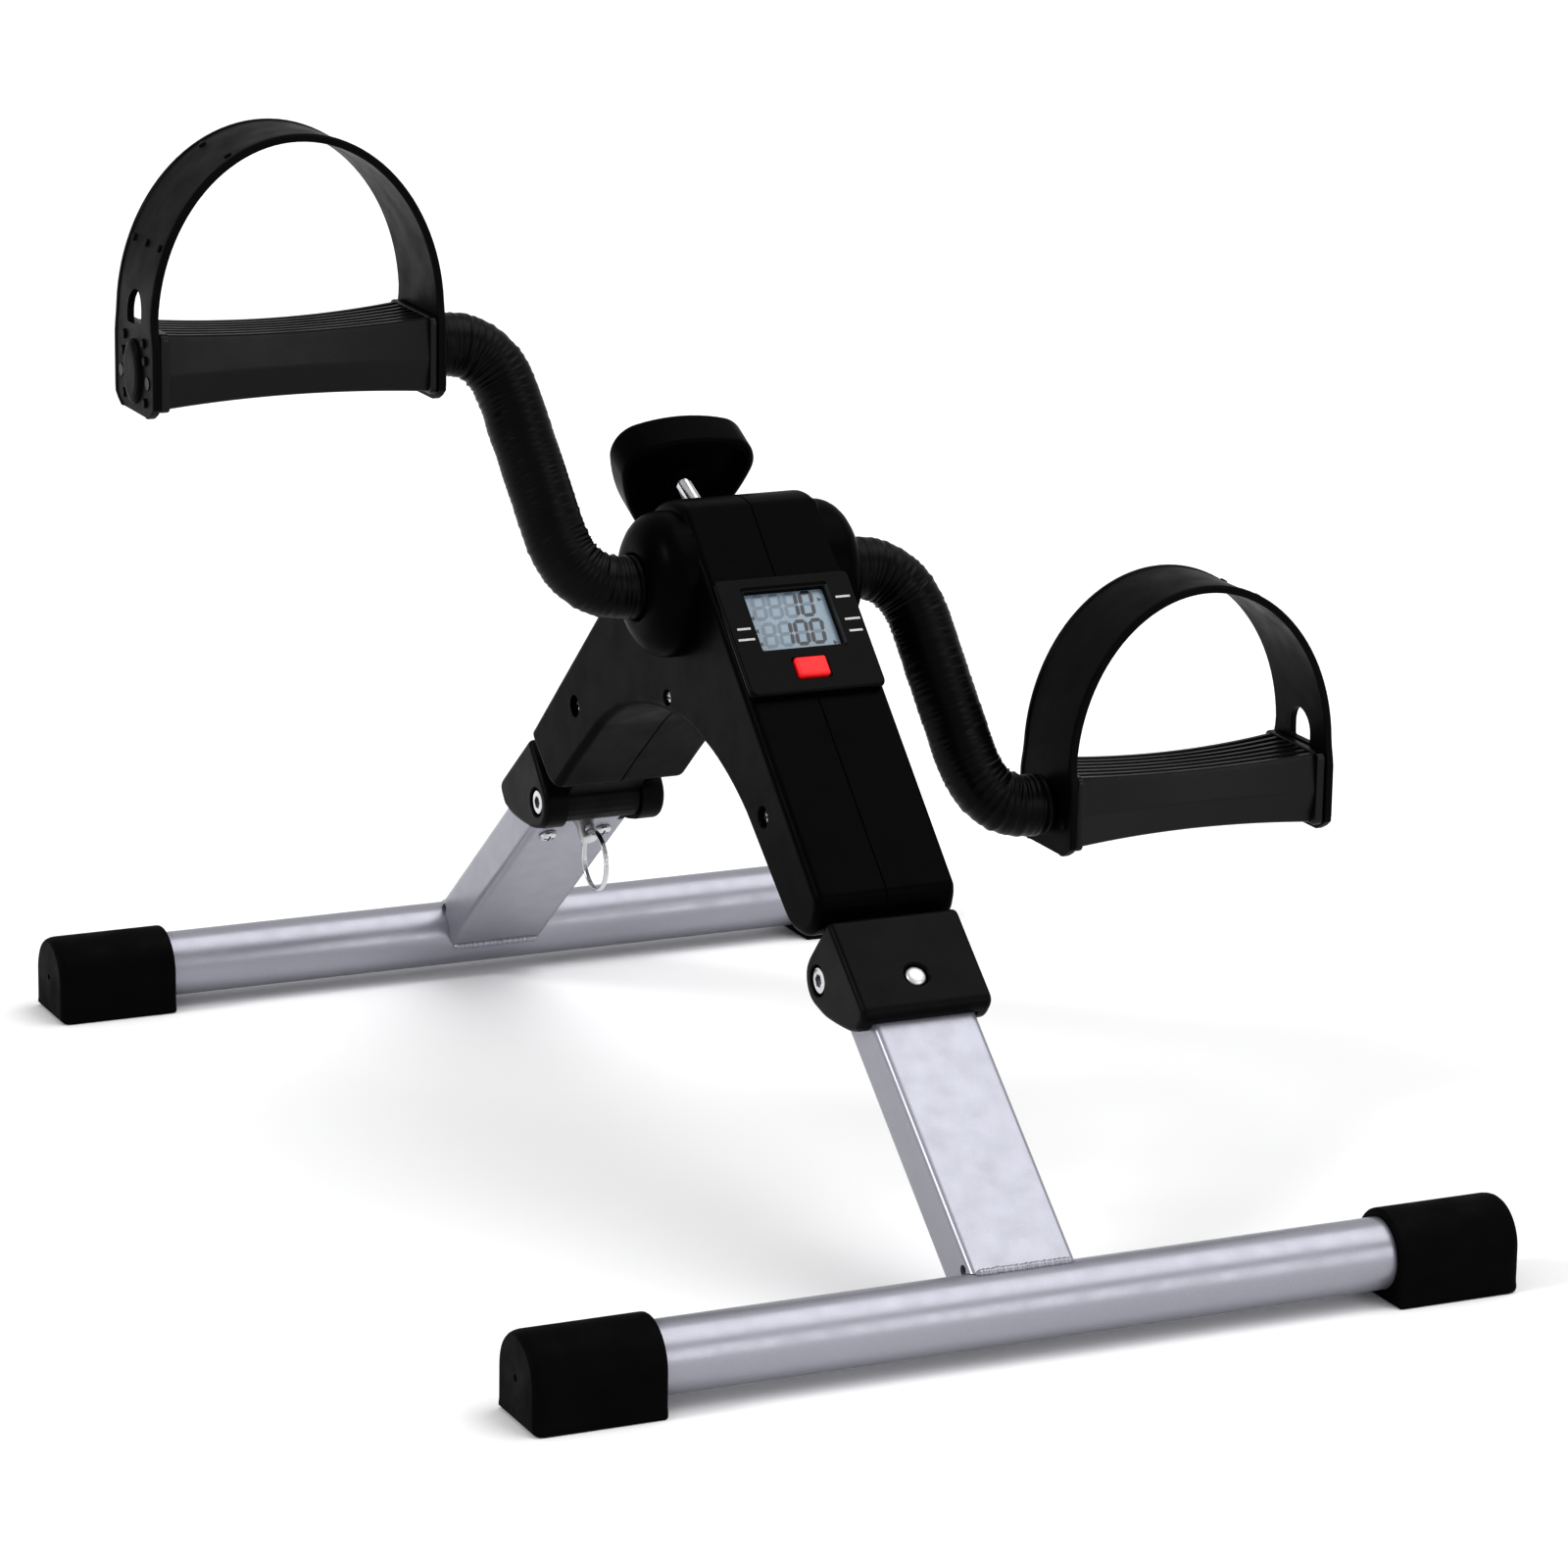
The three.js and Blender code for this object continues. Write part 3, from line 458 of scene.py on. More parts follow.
def painted():
    """Silver satin paint on steel tube: metal flake, slow tone drift, worn edges."""
    m = Finish("silver_paint", (0.305, 0.305, 0.35), 0.36, 0.6,
               Coat_Weight=0.25, Coat_Roughness=0.18)
    m.tint(m.span(m.noise(9, 3), 0.35, 0.7, 0, 1), (0.275, 0.275, 0.32), 0.5)
    m.tint(m.span(m.noise(3600, 1), 0.45, 0.75, 0, 1), (0.40, 0.40, 0.45), 0.4)
    m.tint(m.edges(0.6), (0.36, 0.36, 0.40), 0.35)
    m.polish(m.noise(120, 5), 0.30, 0.42)
    m.bump(m.noise(900, 2), 0.12, 0.02)
    return m.done()


def metal(name, colour, low, high):
    """Bare or plated metal with cloudy tone and fine wear."""
    scale = 300
    m = Finish(name, colour, low, 1.0)
    m.tint(m.span(m.noise(45, 5), 0.4, 0.7, 0, 1), tuple(c * 0.72 for c in colour), 0.6)
    m.polish(m.noise(scale, 6), low, high)
    m.bump(m.noise(scale * 3, 3), 0.15, 0.02)
    return m.done()


def speckled(name, colour, other, scale, low, high, depth, **sockets):
    """Two mottled tones over a fine bump of the given depth in millimetres."""
    m = Finish(name, colour, low, 0.0, **sockets)
    m.tint(m.span(m.noise(scale, 5), 0.4, 0.65, 0, 1), other, 0.8)
    m.polish(m.noise(scale * 1.7, 4), low, high)
    m.bump(m.noise(scale * 4, 4), 0.3, depth)
    return m.done()


ABS = moulded("abs_black", 0.0014, 0.30, 0.42, 1500, 0.03, 0.02)
COVER = moulded("cover_charcoal", 0.0026, 0.32, 0.44, 1300, 0.035, 0.06)
TREAD = moulded("tread_black", 0.0026, 0.28, 0.40, 1100, 0.04, 0.22)
BEZEL = moulded("bezel_black", 0.0014, 0.20, 0.30, 2400, 0.01, 0.05)
RUBBER = moulded("rubber_black", 0.0018, 0.50, 0.70, 1000, 0.05)
STRAP = moulded("strap_vinyl", 0.0018, 0.34, 0.48, 1100, 0.04, 0.05)
SLEEVE = moulded("sleeve_vinyl", 0.0014, 0.30, 0.44, 1200, 0.04, 0.1)
PAINT = painted()
CHROME = metal("chrome", (0.66, 0.66, 0.68), 0.10, 0.22)
PLATED = metal("plated_steel", (0.66, 0.66, 0.67), 0.34, 0.48)
STEEL = metal("zinc_steel", (0.52, 0.53, 0.55), 0.28, 0.45)
BLACK_STEEL = speckled("black_paint", (0.004, 0.004, 0.0045), (0.007, 0.007, 0.008),
                       120, 0.40, 0.54, 0.04, Specular_IOR_Level=0.10)
NYLON = speckled("nylon", (0.62, 0.60, 0.52), (0.50, 0.48, 0.41), 200, 0.4, 0.55, 0.03)
FELT = speckled("brake_felt", (0.12, 0.085, 0.055), (0.06, 0.045, 0.03), 600, 0.8, 0.98, 0.3)
BOARD = speckled("board_green", (0.012, 0.11, 0.04), (0.02, 0.17, 0.06), 350, 0.3, 0.5, 0.03)
RED = speckled("button_red", (0.86, 0.014, 0.018), (0.74, 0.010, 0.014),
               160, 0.26, 0.40, 0.02, Specular_IOR_Level=0.25)
LCD = speckled("lcd_face", (0.20, 0.265, 0.325), (0.175, 0.235, 0.29), 60, 0.22, 0.32, 0.004)
GHOST = speckled("lcd_ghost", (0.115, 0.155, 0.195), (0.10, 0.14, 0.175), 160, 0.2, 0.3, 0.004)
DIGIT = speckled("lcd_digit", (0.004, 0.006, 0.010), (0.008, 0.010, 0.015), 160, 0.2, 0.3, 0.004)
MARK = speckled("mark_white", (0.50, 0.50, 0.50), (0.38, 0.38, 0.38), 900, 0.4, 0.6, 0.01)


# ---- housing ----
FRONT_ARM = arm_frame(True)
REAR_ARM = arm_frame(False)


def housing_outline():
    """Side profile: two sloping arms meeting in a round head, with an arch below."""
    half, arch_r, arch_z, rear_arm_n = 66.7, 115, 51, 28
    a = math.degrees(math.asin(half / arch_r))
    tangent = math.degrees(math.acos(rear_arm_n / HOUSING_R))
    return [
        (*at(REAR_ARM, 156, 25), 2),
        (*at(REAR_ARM, 155, rear_arm_n), 2.5),
        *arc(CRANK_Y, CRANK_Z, HOUSING_R, 90 - ARM_SLOPE - tangent, 64 + ARM_SLOPE, 22),
        (*at(FRONT_ARM, 17, 26.5), 6),
        (*at(FRONT_ARM, 150, 26.5), 2.5),
        (*at(FRONT_ARM, 153, 24), 3),
        (-128.5, 119.5, 6),
        (-121, 113.5, 7),
        (-108, 113.5, 7),
        (-94.5, 124.5, 7),
        *arc(CRANK_Y, arch_z, arch_r, 90 + a, 90 - a, 30),
        (88.5, 124.5, 6),
        (104.5, 110.5, 5),
        (112, 112.5, 4),
    ]


OUTLINE = housing_outline()
# housing screws: y, z, recess radius and how far out from the middle the head sits
SCREWS = [
    (*at(FRONT_ARM, 105, 8), 3.8, 23.3),
    (*at(REAR_ARM, 109.7, 12.6), 3.8, 23.3),
    (-0.4, 171.5, 2.9, 24.2),
]


def right_shell():
    """The right half, hollow, with its crank boss, window, arm ends and tension screw hole."""
    fillet = [math.radians(15 * i) for i in range(7)]
    skirt = [(0.15, 0.45), (0.25, 0.15), (0.55, 0)]
    flat = HOUSING_HALF - HOUSING_FILLET
    skirt += [(flat + HOUSING_FILLET * math.sin(a), HOUSING_FILLET * (1 - math.cos(a)))
              for a in fillet]
    shell = lofted("right_shell", OUTLINE, skirt, RIGHT_OUT, 6)
    hollow = [(-2, HOUSING_WALL), (21.5, HOUSING_WALL), (24.2, 5.0)]
    cut(shell, lofted("hollow", OUTLINE, hollow, RIGHT_OUT, 6))
    boss = [(11.5, 23.1), (26.5, 23.1), (26.5, 30.6), (26.3, 32.4), (25.7, 34.2), (24.6, 36.1),
            (23, 37.8), (20.9, 39.3), (18.6, 40.5), (16.2, 41.3), (14, 41.7), (12.9, 41.7),
            (12.4, 41.3), (12.25, 40.7), (11.5, 40.7)]
    axis = out_frame(1, CRANK_Y, CRANK_Z)
    join(shell, turned("boss", boss, axis, 72, True))
    return cut(
        shell,
        rod("bore", 13, 10, 26.6, axis, 72),
        rod("bore", 12.2, 20, 44, axis, 72),
        block("window", 21, 63, 20, 32, -21.5, 21.5, FRONT_ARM),
        block("exit", 140, 175, 0.5, 19.5, -ARM_EXIT_HALF, ARM_EXIT_HALF, FRONT_ARM),
        block("exit", 140, 175, 0.5, 19.5, -ARM_EXIT_HALF, ARM_EXIT_HALF, REAR_ARM),
        rod("screw_hole", TENSION_ROD_R + 0.8, 20, 40, KNOB),
    )


def left_shell(right):
    """The mirrored half, with a bossed recess for each housing screw."""
    left = bpy.data.objects.new("left_shell", right.data.copy())
    scene.collection.objects.link(left)
    left.data.transform(Matrix.Scale(-1, 4, (1, 0, 0)))
    left.data.flip_normals()
    for y, z, r, out in SCREWS:
        f = out_frame(-1, y, z)
        join(left, rod("screw_boss", r + 1.6, out - 3.1, 25.3, f, 40))
        recess = [(r, out - 0.4), (r, 26.5), (r + 0.55, 27.1), (r + 0.55, 29)]
        cut(left, turned("recess", recess, f, 40))
    return left


k_c, k_s = math.cos(math.radians(KNOB_ELEV)), math.sin(math.radians(KNOB_ELEV))
KNOB = basis((1, 0, 0), (0, k_s, -k_c), (0, k_c, k_s), (0, CRANK_Y, CRANK_Z))

right_half = right_shell()
left_half = left_shell(right_half)
piece(left_half, ABS, "housing", "abs_black", "left_housing_shell", angle=30)
piece(right_half, ABS, "housing", "abs_black", "right_housing_shell", angle=30)


def cross_head(name, r, height, f, shank_r, shank):
    """Screw with a pan head and cross recess; the head rises from 0 along the third axis."""
    crown = [(r, 0), (r, height * 0.35), (r * 0.94, height * 0.62), (r * 0.75, height * 0.86),
             (r * 0.4, height * 0.98), (0, height)]
    head = turned(name, [(0, -shank), (shank_r, -shank), (shank_r, 0), *crown], f, 40)
    slot = r * 0.62
    for a, b in ((slot, 0.42), (0.42, slot)):
        cut(head, block("slot", -a, a, -b, b, height * 0.35, height + 1, f))
    return head


for i, (y, z, r, out) in enumerate(SCREWS):
    f = Matrix.Translation((-out, 0, 0)) @ out_frame(-1, y, z)
    head = cross_head(f"housing_screw_head_{i + 1}", r - 0.4, 2.3, f, 1.9, 42)
    piece(head, CHROME, "housing", "chrome", f"housing_screw_{i + 1}")

# ---- display ----
ca, sa = math.cos(math.radians(ARM_SLOPE)), math.sin(math.radians(ARM_SLOPE))
# first axis across X, second up the slope, third out of the face
PANEL = basis((1, 0, 0), (0, ca, sa), (0, -sa, ca), (0, CRANK_Y, CRANK_Z))
PANEL = PANEL @ Matrix.Translation((0, -1.4, 0))
# heights of the panel's face and the glass's face above the crank axis
PANEL_D = 29.6
LCD_D = 26.5
STROKE = 1.45
SLANT = 0.12


def rect(x0, x1, s0, s1, r=0.0):
    """Rectangle on the panel, s measured down the slope, counter-clockwise."""
    return [(x0, -s1, r), (x1, -s1, r), (x1, -s0, r), (x0, -s0, r)]


panel = [(-26.4, -67.2, 3.2), (26.4, -67.2, 3.2), (26.4, -19, 1.5), (25, -17.6, 1.5),
         (-25, -17.6, 1.5), (-26.4, -19, 1.5)]
bezel = prism("display_panel", panel, 26.8, PANEL_D, PANEL, 1.1, 4)
cut(bezel, lofted("frame", rect(-17.3, 17.3, 21.6, 49.6, 1.6),
                  [(PANEL_D - 0.9, 1.0), (PANEL_D - 0.2, 0.25), (PANEL_D + 2, 0)], PANEL))
cut(bezel, lofted("lcd_window", rect(-15.9, 15.9, 23.2, 48.3, 1.0),
                  [(20, 0.6), (PANEL_D, 0)], PANEL))
cut(bezel, prism("button_window", rect(-7, 7, 52.4, 62, 1.6), 20, 40, PANEL))
piece(bezel, BEZEL, "housing", "bezel_black", "display_bezel")
lcd = prism("lcd_panel", rect(-17.2, 17.2, 22.2, 49.4, 0.5), 24.4, LCD_D, PANEL, 0.2, 2)
piece(lcd, LCD, "housing", "lcd", "lcd_glass")

LIT = {"0": "abcdef", "1": "bc", "8": "abcdefg"}


def segment(which, w, h):
    """Outline of one of the seven bars of a w by h figure, around its middle."""
    a, b, gap = w / 2, h / 2, 0.12
    if which in "agd":
        y = {"a": b, "g": 0, "d": -b}[which]
        p, q = (-a + gap, y), (a - gap, y)
        side = Vector((0, STROKE / 2))
    else:
        x = a if which in "bc" else -a
        lo, hi = (0, b) if which in "bf" else (-b, 0)
        p, q = (x, lo + gap), (x, hi - gap)
        side = Vector((-STROKE / 2, 0))
    p, q = Vector(p), Vector(q)
    along = (q - p).normalized() * (STROKE / 2)
    return [p, p + along - side, q - along - side, q, q - along + side, p + along + side]


def plate(bm, outline, low, high):
    """Adds a thin plate between two heights."""
    a = [bm.verts.new((u, v, low)) for u, v in outline]
    b = [bm.verts.new((u, v, high)) for u, v in outline]
    bm.faces.new(a[::-1])
    bm.faces.new(b)
    for i in range(len(outline)):
        j = (i + 1) % len(outline)
        bm.faces.new((a[i], a[j], b[j], b[i]))


def digits(name, cells, mat, height, lift):
    """Seven-segment figures: cells are (figure, x, s)."""
    bm = bmesh.new()
    for figure, x, s in cells:
        for which in LIT[figure]:
            bar = [(x + p.x + p.y * SLANT, -s + p.y) for p in segment(which, *CELL)]
            plate(bm, bar, LCD_D + height, LCD_D + height + lift)
    piece(make(name, bm, PANEL), mat, "housing", "lcd", weighted=False)


COLUMNS = (-10.4, -4.2, 2.0, 8.2)
UPPER = [(x, 28.9) for x in COLUMNS]
LOWER = [(x + 0.5, 40.6) for x in COLUMNS]
CELL = (4.3, 9.4)
digits("lcd_ghost_figures", [("8", *p) for p in UPPER + LOWER], GHOST, 0.01, 0.03)
lit = [(figure, *p) for figure, p in zip("10100", UPPER[2:] + LOWER[1:])]
digits("lcd_figures", lit, DIGIT, 0.045, 0.03)

# short plain dashes beside the window: x, s and half length
dashes = bmesh.new()
for x, s, w in ((-20.6, 39, 2.6), (-20.9, 43.5, 3.2), (21.3, 29, 2.8), (22, 38.6, 3.0),
                (21.8, 43.6, 2.6)):
    bar = [(x - w, 0.45 - s), (x - w, -0.45 - s), (x + w, -0.45 - s), (x + w, 0.45 - s)]
    plate(dashes, bar, PANEL_D - 0.1, PANEL_D + 0.05)
piece(make("panel_marks", dashes, PANEL), MARK, "housing", "bezel_black", weighted=False)

# small pointers on the glass: x, s and the side they point to
pointers = bmesh.new()
for x, s, k in ((13.6, 27.5, 1), (14, 46, 1), (-14.4, 33, -1), (-14.4, 38.5, -1), (-14.4, 44, -1)):
    tri = [(x + k * 0.9, -s), (x - k * 0.7, 0.9 - s), (x - k * 0.7, -0.9 - s)]
    plate(pointers, tri, LCD_D + 0.04, LCD_D + 0.075)
piece(make("lcd_pointers", pointers, PANEL), DIGIT, "housing", "lcd", weighted=False)

button = prism("reset_key_cap", rect(-6.2, 6.2, 53.1, 61.3, 1.3), 24, 31, PANEL, 1.1, 5)
join(button, prism("flange", rect(-8.4, 8.4, 51.4, 62.8, 1.3), 23.9, 25.9, PANEL, 0.3, 2))
piece(button, RED, "reset_key", "button_red", "reset_button")


# ---- tension adjuster ----
def thread(name, r, depth, pitch, h0, h1, f):
    """Threaded rod with tapered ends."""
    segs = 36
    rings = [[(0, 0, h0)]]
    steps = int((h1 - h0) / pitch * 8)
    for i in range(steps + 1):
        h = h0 + (h1 - h0) * i / steps
        ring = []
        for j in range(segs):
            turn = (h / pitch + j / segs) % 1
            edge = min(1, min(h - h0, h1 - h) / pitch)
            rr = r - depth * (1 - abs(2 * turn - 1)) * edge - 0.5 * (1 - edge)
            a = 2 * math.pi * j / segs
            ring.append((rr * math.cos(a), rr * math.sin(a), h))
        rings.append(ring)
    rings.append([(0, 0, h1)])
    return skin(name, rings, f)


piece(thread("threaded_rod", TENSION_ROD_R, 0.5, 1.0, 18.9, 66, KNOB),
      CHROME, "knob", "chrome", "tension_screw", weighted=False)


def grip_outline():
    """Three round corners joined by bulging sides, one corner down."""
    third = math.radians(60)
    turn = math.atan2(CORNER_D * math.sin(third), BULGE_D + CORNER_D * math.cos(third))
    bulge_r = CORNER_D * math.sin(third) / math.sin(turn) + CORNER_R
    turn = math.degrees(turn)
    out = []
    for corner in (90, 210, 330):
        here, side = math.radians(corner), corner + 60
        u, v = CORNER_D * math.cos(here), CORNER_D * math.sin(here)
        opposite = math.radians(side)
        bu, bv = -BULGE_D * math.cos(opposite), -BULGE_D * math.sin(opposite)
        out += arc(u, v, CORNER_R, corner - 60 + turn, corner + 60 - turn, 12)
        out += arc(bu, bv, bulge_r, side - turn, side + turn, 10)[1:-1]
    return out


grip = grip_outline()
grip_levels = [(54, 2.4), (54.15, 1.6), (54.6, 0.8), (55.3, 0.25), (56.3, 0), (68, 0),
               (69.2, 0.3), (70.1, 0.95), (70.7, 2.0), (70.95, 3.3), (71, 4.8)]
hub = [(2.9, 55.6), (6.4, 55.6), (7.0, 56.2), (7.6, 60.5), (2.9, 60.5)]
knob = lofted("knob_grip", grip, grip_levels, KNOB)
cut(knob, lofted("under", grip, [(50, 2.9), (58, 3.3), (59.5, 4.6)], KNOB))
join(knob, turned("hub", hub, KNOB, 48, True))
cut(knob, rod("knob_bore", TENSION_ROD_R + 0.3, 50, 66.5, KNOB))
piece(knob, ABS, "knob", "abs_black", "tension_knob", angle=40)

# ---- crank sleeves ----
# middle line of an arm: distance out from the middle plane and from the crank axis
ARM_PATH = [(36, 0), (45, 0), (53, 1.2), (60, 5.2), (65.2, 11.8), (68.2, 20), (71.5, 39),
            (74.8, 58), (77.6, 74), (80.6, 83), (86, 90), (93, 93.4), (100, CRANK_R),
            (105.3, CRANK_R)]


def crank_point(k, x, r):
    return (k * x, CRANK_Y - k * r * CRANK_DY / CRANK_R, CRANK_Z - k * r * CRANK_DZ / CRANK_R)


def sleeve(side, k):
    """Loose vinyl sleeve, gathered into fine rings where the arm bends."""
    rng = random.Random(7 + k)
    points = through([crank_point(k, x, r) for x, r in ARM_PATH], 0.42)
    frames = path_frames(points)
    count = len(points)
    lengths = [0.0]
    for a, b in zip(points, points[1:]):
        lengths.append(lengths[-1] + (b - a).length)
    total = lengths[-1]
    reach = 12
    # how far the middle line bows away from its chord, towards the inside of the bend
    inward = [(points[max(i - reach, 0)] + points[min(i + reach, count - 1)]) / 2 - points[i]
              for i in range(count)]
    # folds: place, strength, width, phase and how far the crest wanders
    folds = []
    s = 1.0
    while s < total - 1:
        folds.append((s, rng.uniform(0.55, 1.25), rng.uniform(0.45, 0.75), rng.uniform(0, 6.28),
                      rng.uniform(0.15, 0.7)))
        s += rng.uniform(1.25, 2.5)

    def radius(i, a):
        _, across, up = frames[i]
        bend = inward[i]
        out = across * math.cos(a) + up * math.sin(a)
        sharp = min(bend.length / 1.1, 1.0)
        inner = max(out.dot(bend.normalized()), 0) if bend.length > 1e-4 else 0
        depth = 0.20 + 0.36 * sharp + 0.55 * sharp * inner
        here = lengths[i]
        h = 0.0
        for fs, strength, width, phase, wiggle in folds:
            d = here - fs - wiggle * math.sin(a + phase) - 0.25 * math.sin(2 * a + phase * 2)
            if abs(d) < 3 * width:
                crest = strength * (0.75 + 0.25 * math.sin(a * 2 + phase))
                h += crest * math.exp(-((d / width) ** 2))
        spot = Vector((here * 0.11, math.cos(a) * 1.3, math.sin(a) * 1.3))
        wave = noise.noise(spot + Vector((k * 9, 0, 0)))
        lip = max(0, 1 - here / 2.0, 1 - (total - here) / 2.0)
        return SLEEVE_R - 0.25 * sharp + depth * min(h, 1.3) + 0.22 * wave - 0.9 * lip**2

    outer = swept(f"{side}_sleeve", points, radius, 56)
    inner_points = [points[0] * 2 - points[3], *points[4:-4:6], points[-1] * 2 - points[-6]]
    return cut(outer, swept("lining", inner_points, SLEEVE_BORE_R))


for side, k in (("left", -1), ("right", 1)):
    piece(sleeve(side, k), SLEEVE, "crank", "vinyl_black", f"{side}_crank_sleeve",
          angle=60, weighted=False)


# ---- pedals ----
def dome(name, ru, rv, h, f, u, v, base, segs):
    """Oval button with a flat-topped dome, rising h along the third axis."""
    angles = [2 * math.pi * i / segs for i in range(segs)]
    last = 0.92
    levels = [(1, base)]
    for t in (0, 0.25, 0.5, 0.75, last):
        levels.append((1 - 0.42 * t**2.4, h * math.sin(t * math.pi / 2 / last)))
    rings = [[(u + ru * scale * math.cos(a), v + rv * scale * math.sin(a), level) for a in angles]
             for scale, level in levels]
    return skin(name, rings, f)


def pedal_body(side, k):
    """Waisted tread with lengthwise ribs, an end flange at each side and its strap pegs."""
    _, cy, cz = crank_point(k, 0, CRANK_R)
    half = (PEDAL_OUT - PEDAL_IN) / 2
    mid = (PEDAL_OUT + PEDAL_IN) / 2
    ribs = 7
    rings = []
    steps = 26
    for n in range(steps + 1):
        x = PEDAL_IN + 1.5 + (2 * half - 3) * n / steps
        u = (x - mid) / half
        w = 16.2 + 3.1 * u * u
        top = 11 + 2.6 * u * u
        low = -11.8 - 1.8 * u * u
        pts = [(-w + 3.6, low), (w - 3.6, low), (w - 2.8, low + 0.5), (w - 0.15, -1.4), (w, -0.8),
               (w - 0.15, -0.2), (w - 1.5, top - 2.0), (w - 1.8, top - 0.5)]
        pitch = 2 * (w - 2.1) / (2 * ribs - 1)
        for i in range(ribs):
            y = w - 2.1 - 2 * i * pitch
            pts += [(y - 0.05, top - 0.25), (y - 0.35, top),
                    (y - pitch + 0.35, top), (y - pitch + 0.05, top - 0.25)]
            if i < ribs - 1:
                pts += [(y - pitch - 0.12, top - 1.7), (y - 2 * pitch + 0.12, top - 1.7)]
        pts += [(-w + 1.8, top - 0.5), (-w + 1.5, top - 2.0), (-w + 0.15, -0.2), (-w, -0.8),
                (-w + 0.15, -1.4), (-w + 2.8, low + 0.5)]
        rings.append([(k * x, cy + y, cz + z) for y, z in pts])
    body = skin(f"{side}_pedal", rings)
    flange = [(-20, -14, 3), (20, -14, 3), (20, 14, 3), (-20, 14, 3)]
    f = out_frame(k, cy, cz)
    join(body, prism("flange", flange, PEDAL_IN, PEDAL_IN + 2.6, f, 0.6, 2))
    join(body, prism("flange", flange, PEDAL_OUT - 3.4, PEDAL_OUT, f, 0.6, 2))
    for y in (-PEG_Y, PEG_Y):
        peg_f = out_frame(k, cy + y, cz + PEG_Z)
        join(body, rod("peg", 2.2, PEDAL_OUT - 1, PEDAL_OUT + 3.2, peg_f, 24))
        join(body, rod("peg", 2.2, PEDAL_IN - 3.6, PEDAL_IN + 1, peg_f, 24))
    cut(body, rod("bore", 6.35, 100, 220, f), rod("nut_bore", 9.6, 201, 220, f))
    return body


def strap(side, k):
    """Foot strap with raised rims, arching from one end of the pedal to the other."""
    _, cy, cz = crank_point(k, 0, CRANK_R)
    in_x, out_x = PEDAL_IN - 0.3, PEDAL_OUT + 0.3
    cx, a, b = (in_x + out_x) / 2, (out_x - in_x) / 2, STRAP_RISE - STRAP_T - ARCH_SPRING
    # inner face of the band: x, z and the outward normal
    tail = (-16.5, -15.9, -14.5, -12.5, -10, -5, 0, 5, 9, 12)
    line = [(cx + a, z, 1, 0) for z in tail]
    arch = 56
    for i in range(arch + 1):
        t = math.pi * i / arch
        c, s = math.cos(t), math.sin(t)
        line.append((cx + a * c, ARCH_SPRING + b * s, c / a, s / b))
    line += [(cx - a, z, -1, 0) for z in reversed(tail)]

    def half_width(z):
        if z < -12:
            return STRAP_HALF - 6.5 * ((-12 - z) / 4.5) ** 1.5
        if z < 8:
            return STRAP_HALF
        t = min((z - 8) / 11, 1)
        return STRAP_HALF - 2 * t * t * (3 - 2 * t)

    rings = []
    for x, z, nx, nz in line:
        n = math.hypot(nx, nz)
        nx, nz = nx / n, nz / n
        w = half_width(z)
        rim = [(-w, 0.5), (-w + 0.25, 0.12), (-w + 0.8, 0), (w - 0.8, 0), (w - 0.25, 0.12),
               (w, 0.5), (w, 2.3), (w - 0.35, 2.85), (w - 0.9, 3.0), (w - 2.0, 3.0),
               (w - 2.7, 2.55), (0.0, 2.5), (-w + 2.7, 2.55), (-w + 2.0, 3.0), (-w + 0.9, 3.0),
               (-w + 0.35, 2.85), (-w, 2.3)]
        rings.append([(k * (x + nx * d), cy + y, cz + z + nz * d) for y, d in rim])
    band = skin(f"{side}_foot_strap", rings)
    f = out_frame(k, cy, cz)
    half = 7.4
    top = [(u, 18.5 + v * 1.15) for u, v in arc(0, 0, half, 0, 180, 16)]
    cut(band, prism("strap_window", [(-half, 14.6, 1), (half, 14.6, 1), *top], 200, 230, f))
    cut(band, rod("spindle_hole", 7.2, 90, 112, f))
    for y in (-PEG_Y, PEG_Y):
        cut(band, rod("peg_hole", 2.5, 90, 230, out_frame(k, cy + y, cz + PEG_Z), 24))
    outer = out_x + STRAP_T - 0.5
    lift = Matrix.Translation((k * outer, 0, 0)) @ f
    join(band, dome("oval", 8.2, 11.6, 2.1, lift, 0, -2, -1.2, 40))
    for u, v in ((-11.8, 3.5), (11.8, 3.5), (-11, -11.5), (11, -11.5), (-10.2, 9.5), (10.2, 9.5)):
        join(band, dome("stud", 1.8, 1.8, 1.0, lift, u, v, -0.8, 20))
    # small pips on the arch
    for degrees, places in ((25, (-13, 0, 13)), (64, (-13, 13))):
        t = math.radians(degrees)
        c, s = math.cos(t), math.sin(t)
        normal = Vector((k * c / a, 0, s / b)).normalized()
        across = Vector((0, 1, 0))
        for y in places:
            place = Vector((k * (cx + a * c), cy + y, cz + ARCH_SPRING + b * s)) + normal * 2.4
            pip_f = basis(across, normal.cross(across), normal, place)
            join(band, dome("pip", 1.5, 1.5, 0.9, pip_f, 0, 0, -0.6, 16))
    return band


for side, k in (("left", -1), ("right", 1)):
    piece(pedal_body(side, k), TREAD, f"{side}_pedal", "abs_black", f"{side}_pedal_body",
          angle=30)
    piece(strap(side, k), STRAP, f"{side}_pedal", "vinyl_black", f"{side}_strap", angle=30)


# ---- legs ----
def normal_frame(f, s, x, way=1):
    """Third axis along the leg's outward normal (or inwards), through (s, x)."""
    if way > 0:
        turn = basis((0, 0, 1), (1, 0, 0), (0, 1, 0))
    else:
        turn = basis((1, 0, 0), (0, 0, 1), (0, -1, 0))
    return f @ Matrix.Translation((s, 0, x)) @ turn


def pin_frame(f):
    return normal_frame(f, PIN_S, 0)


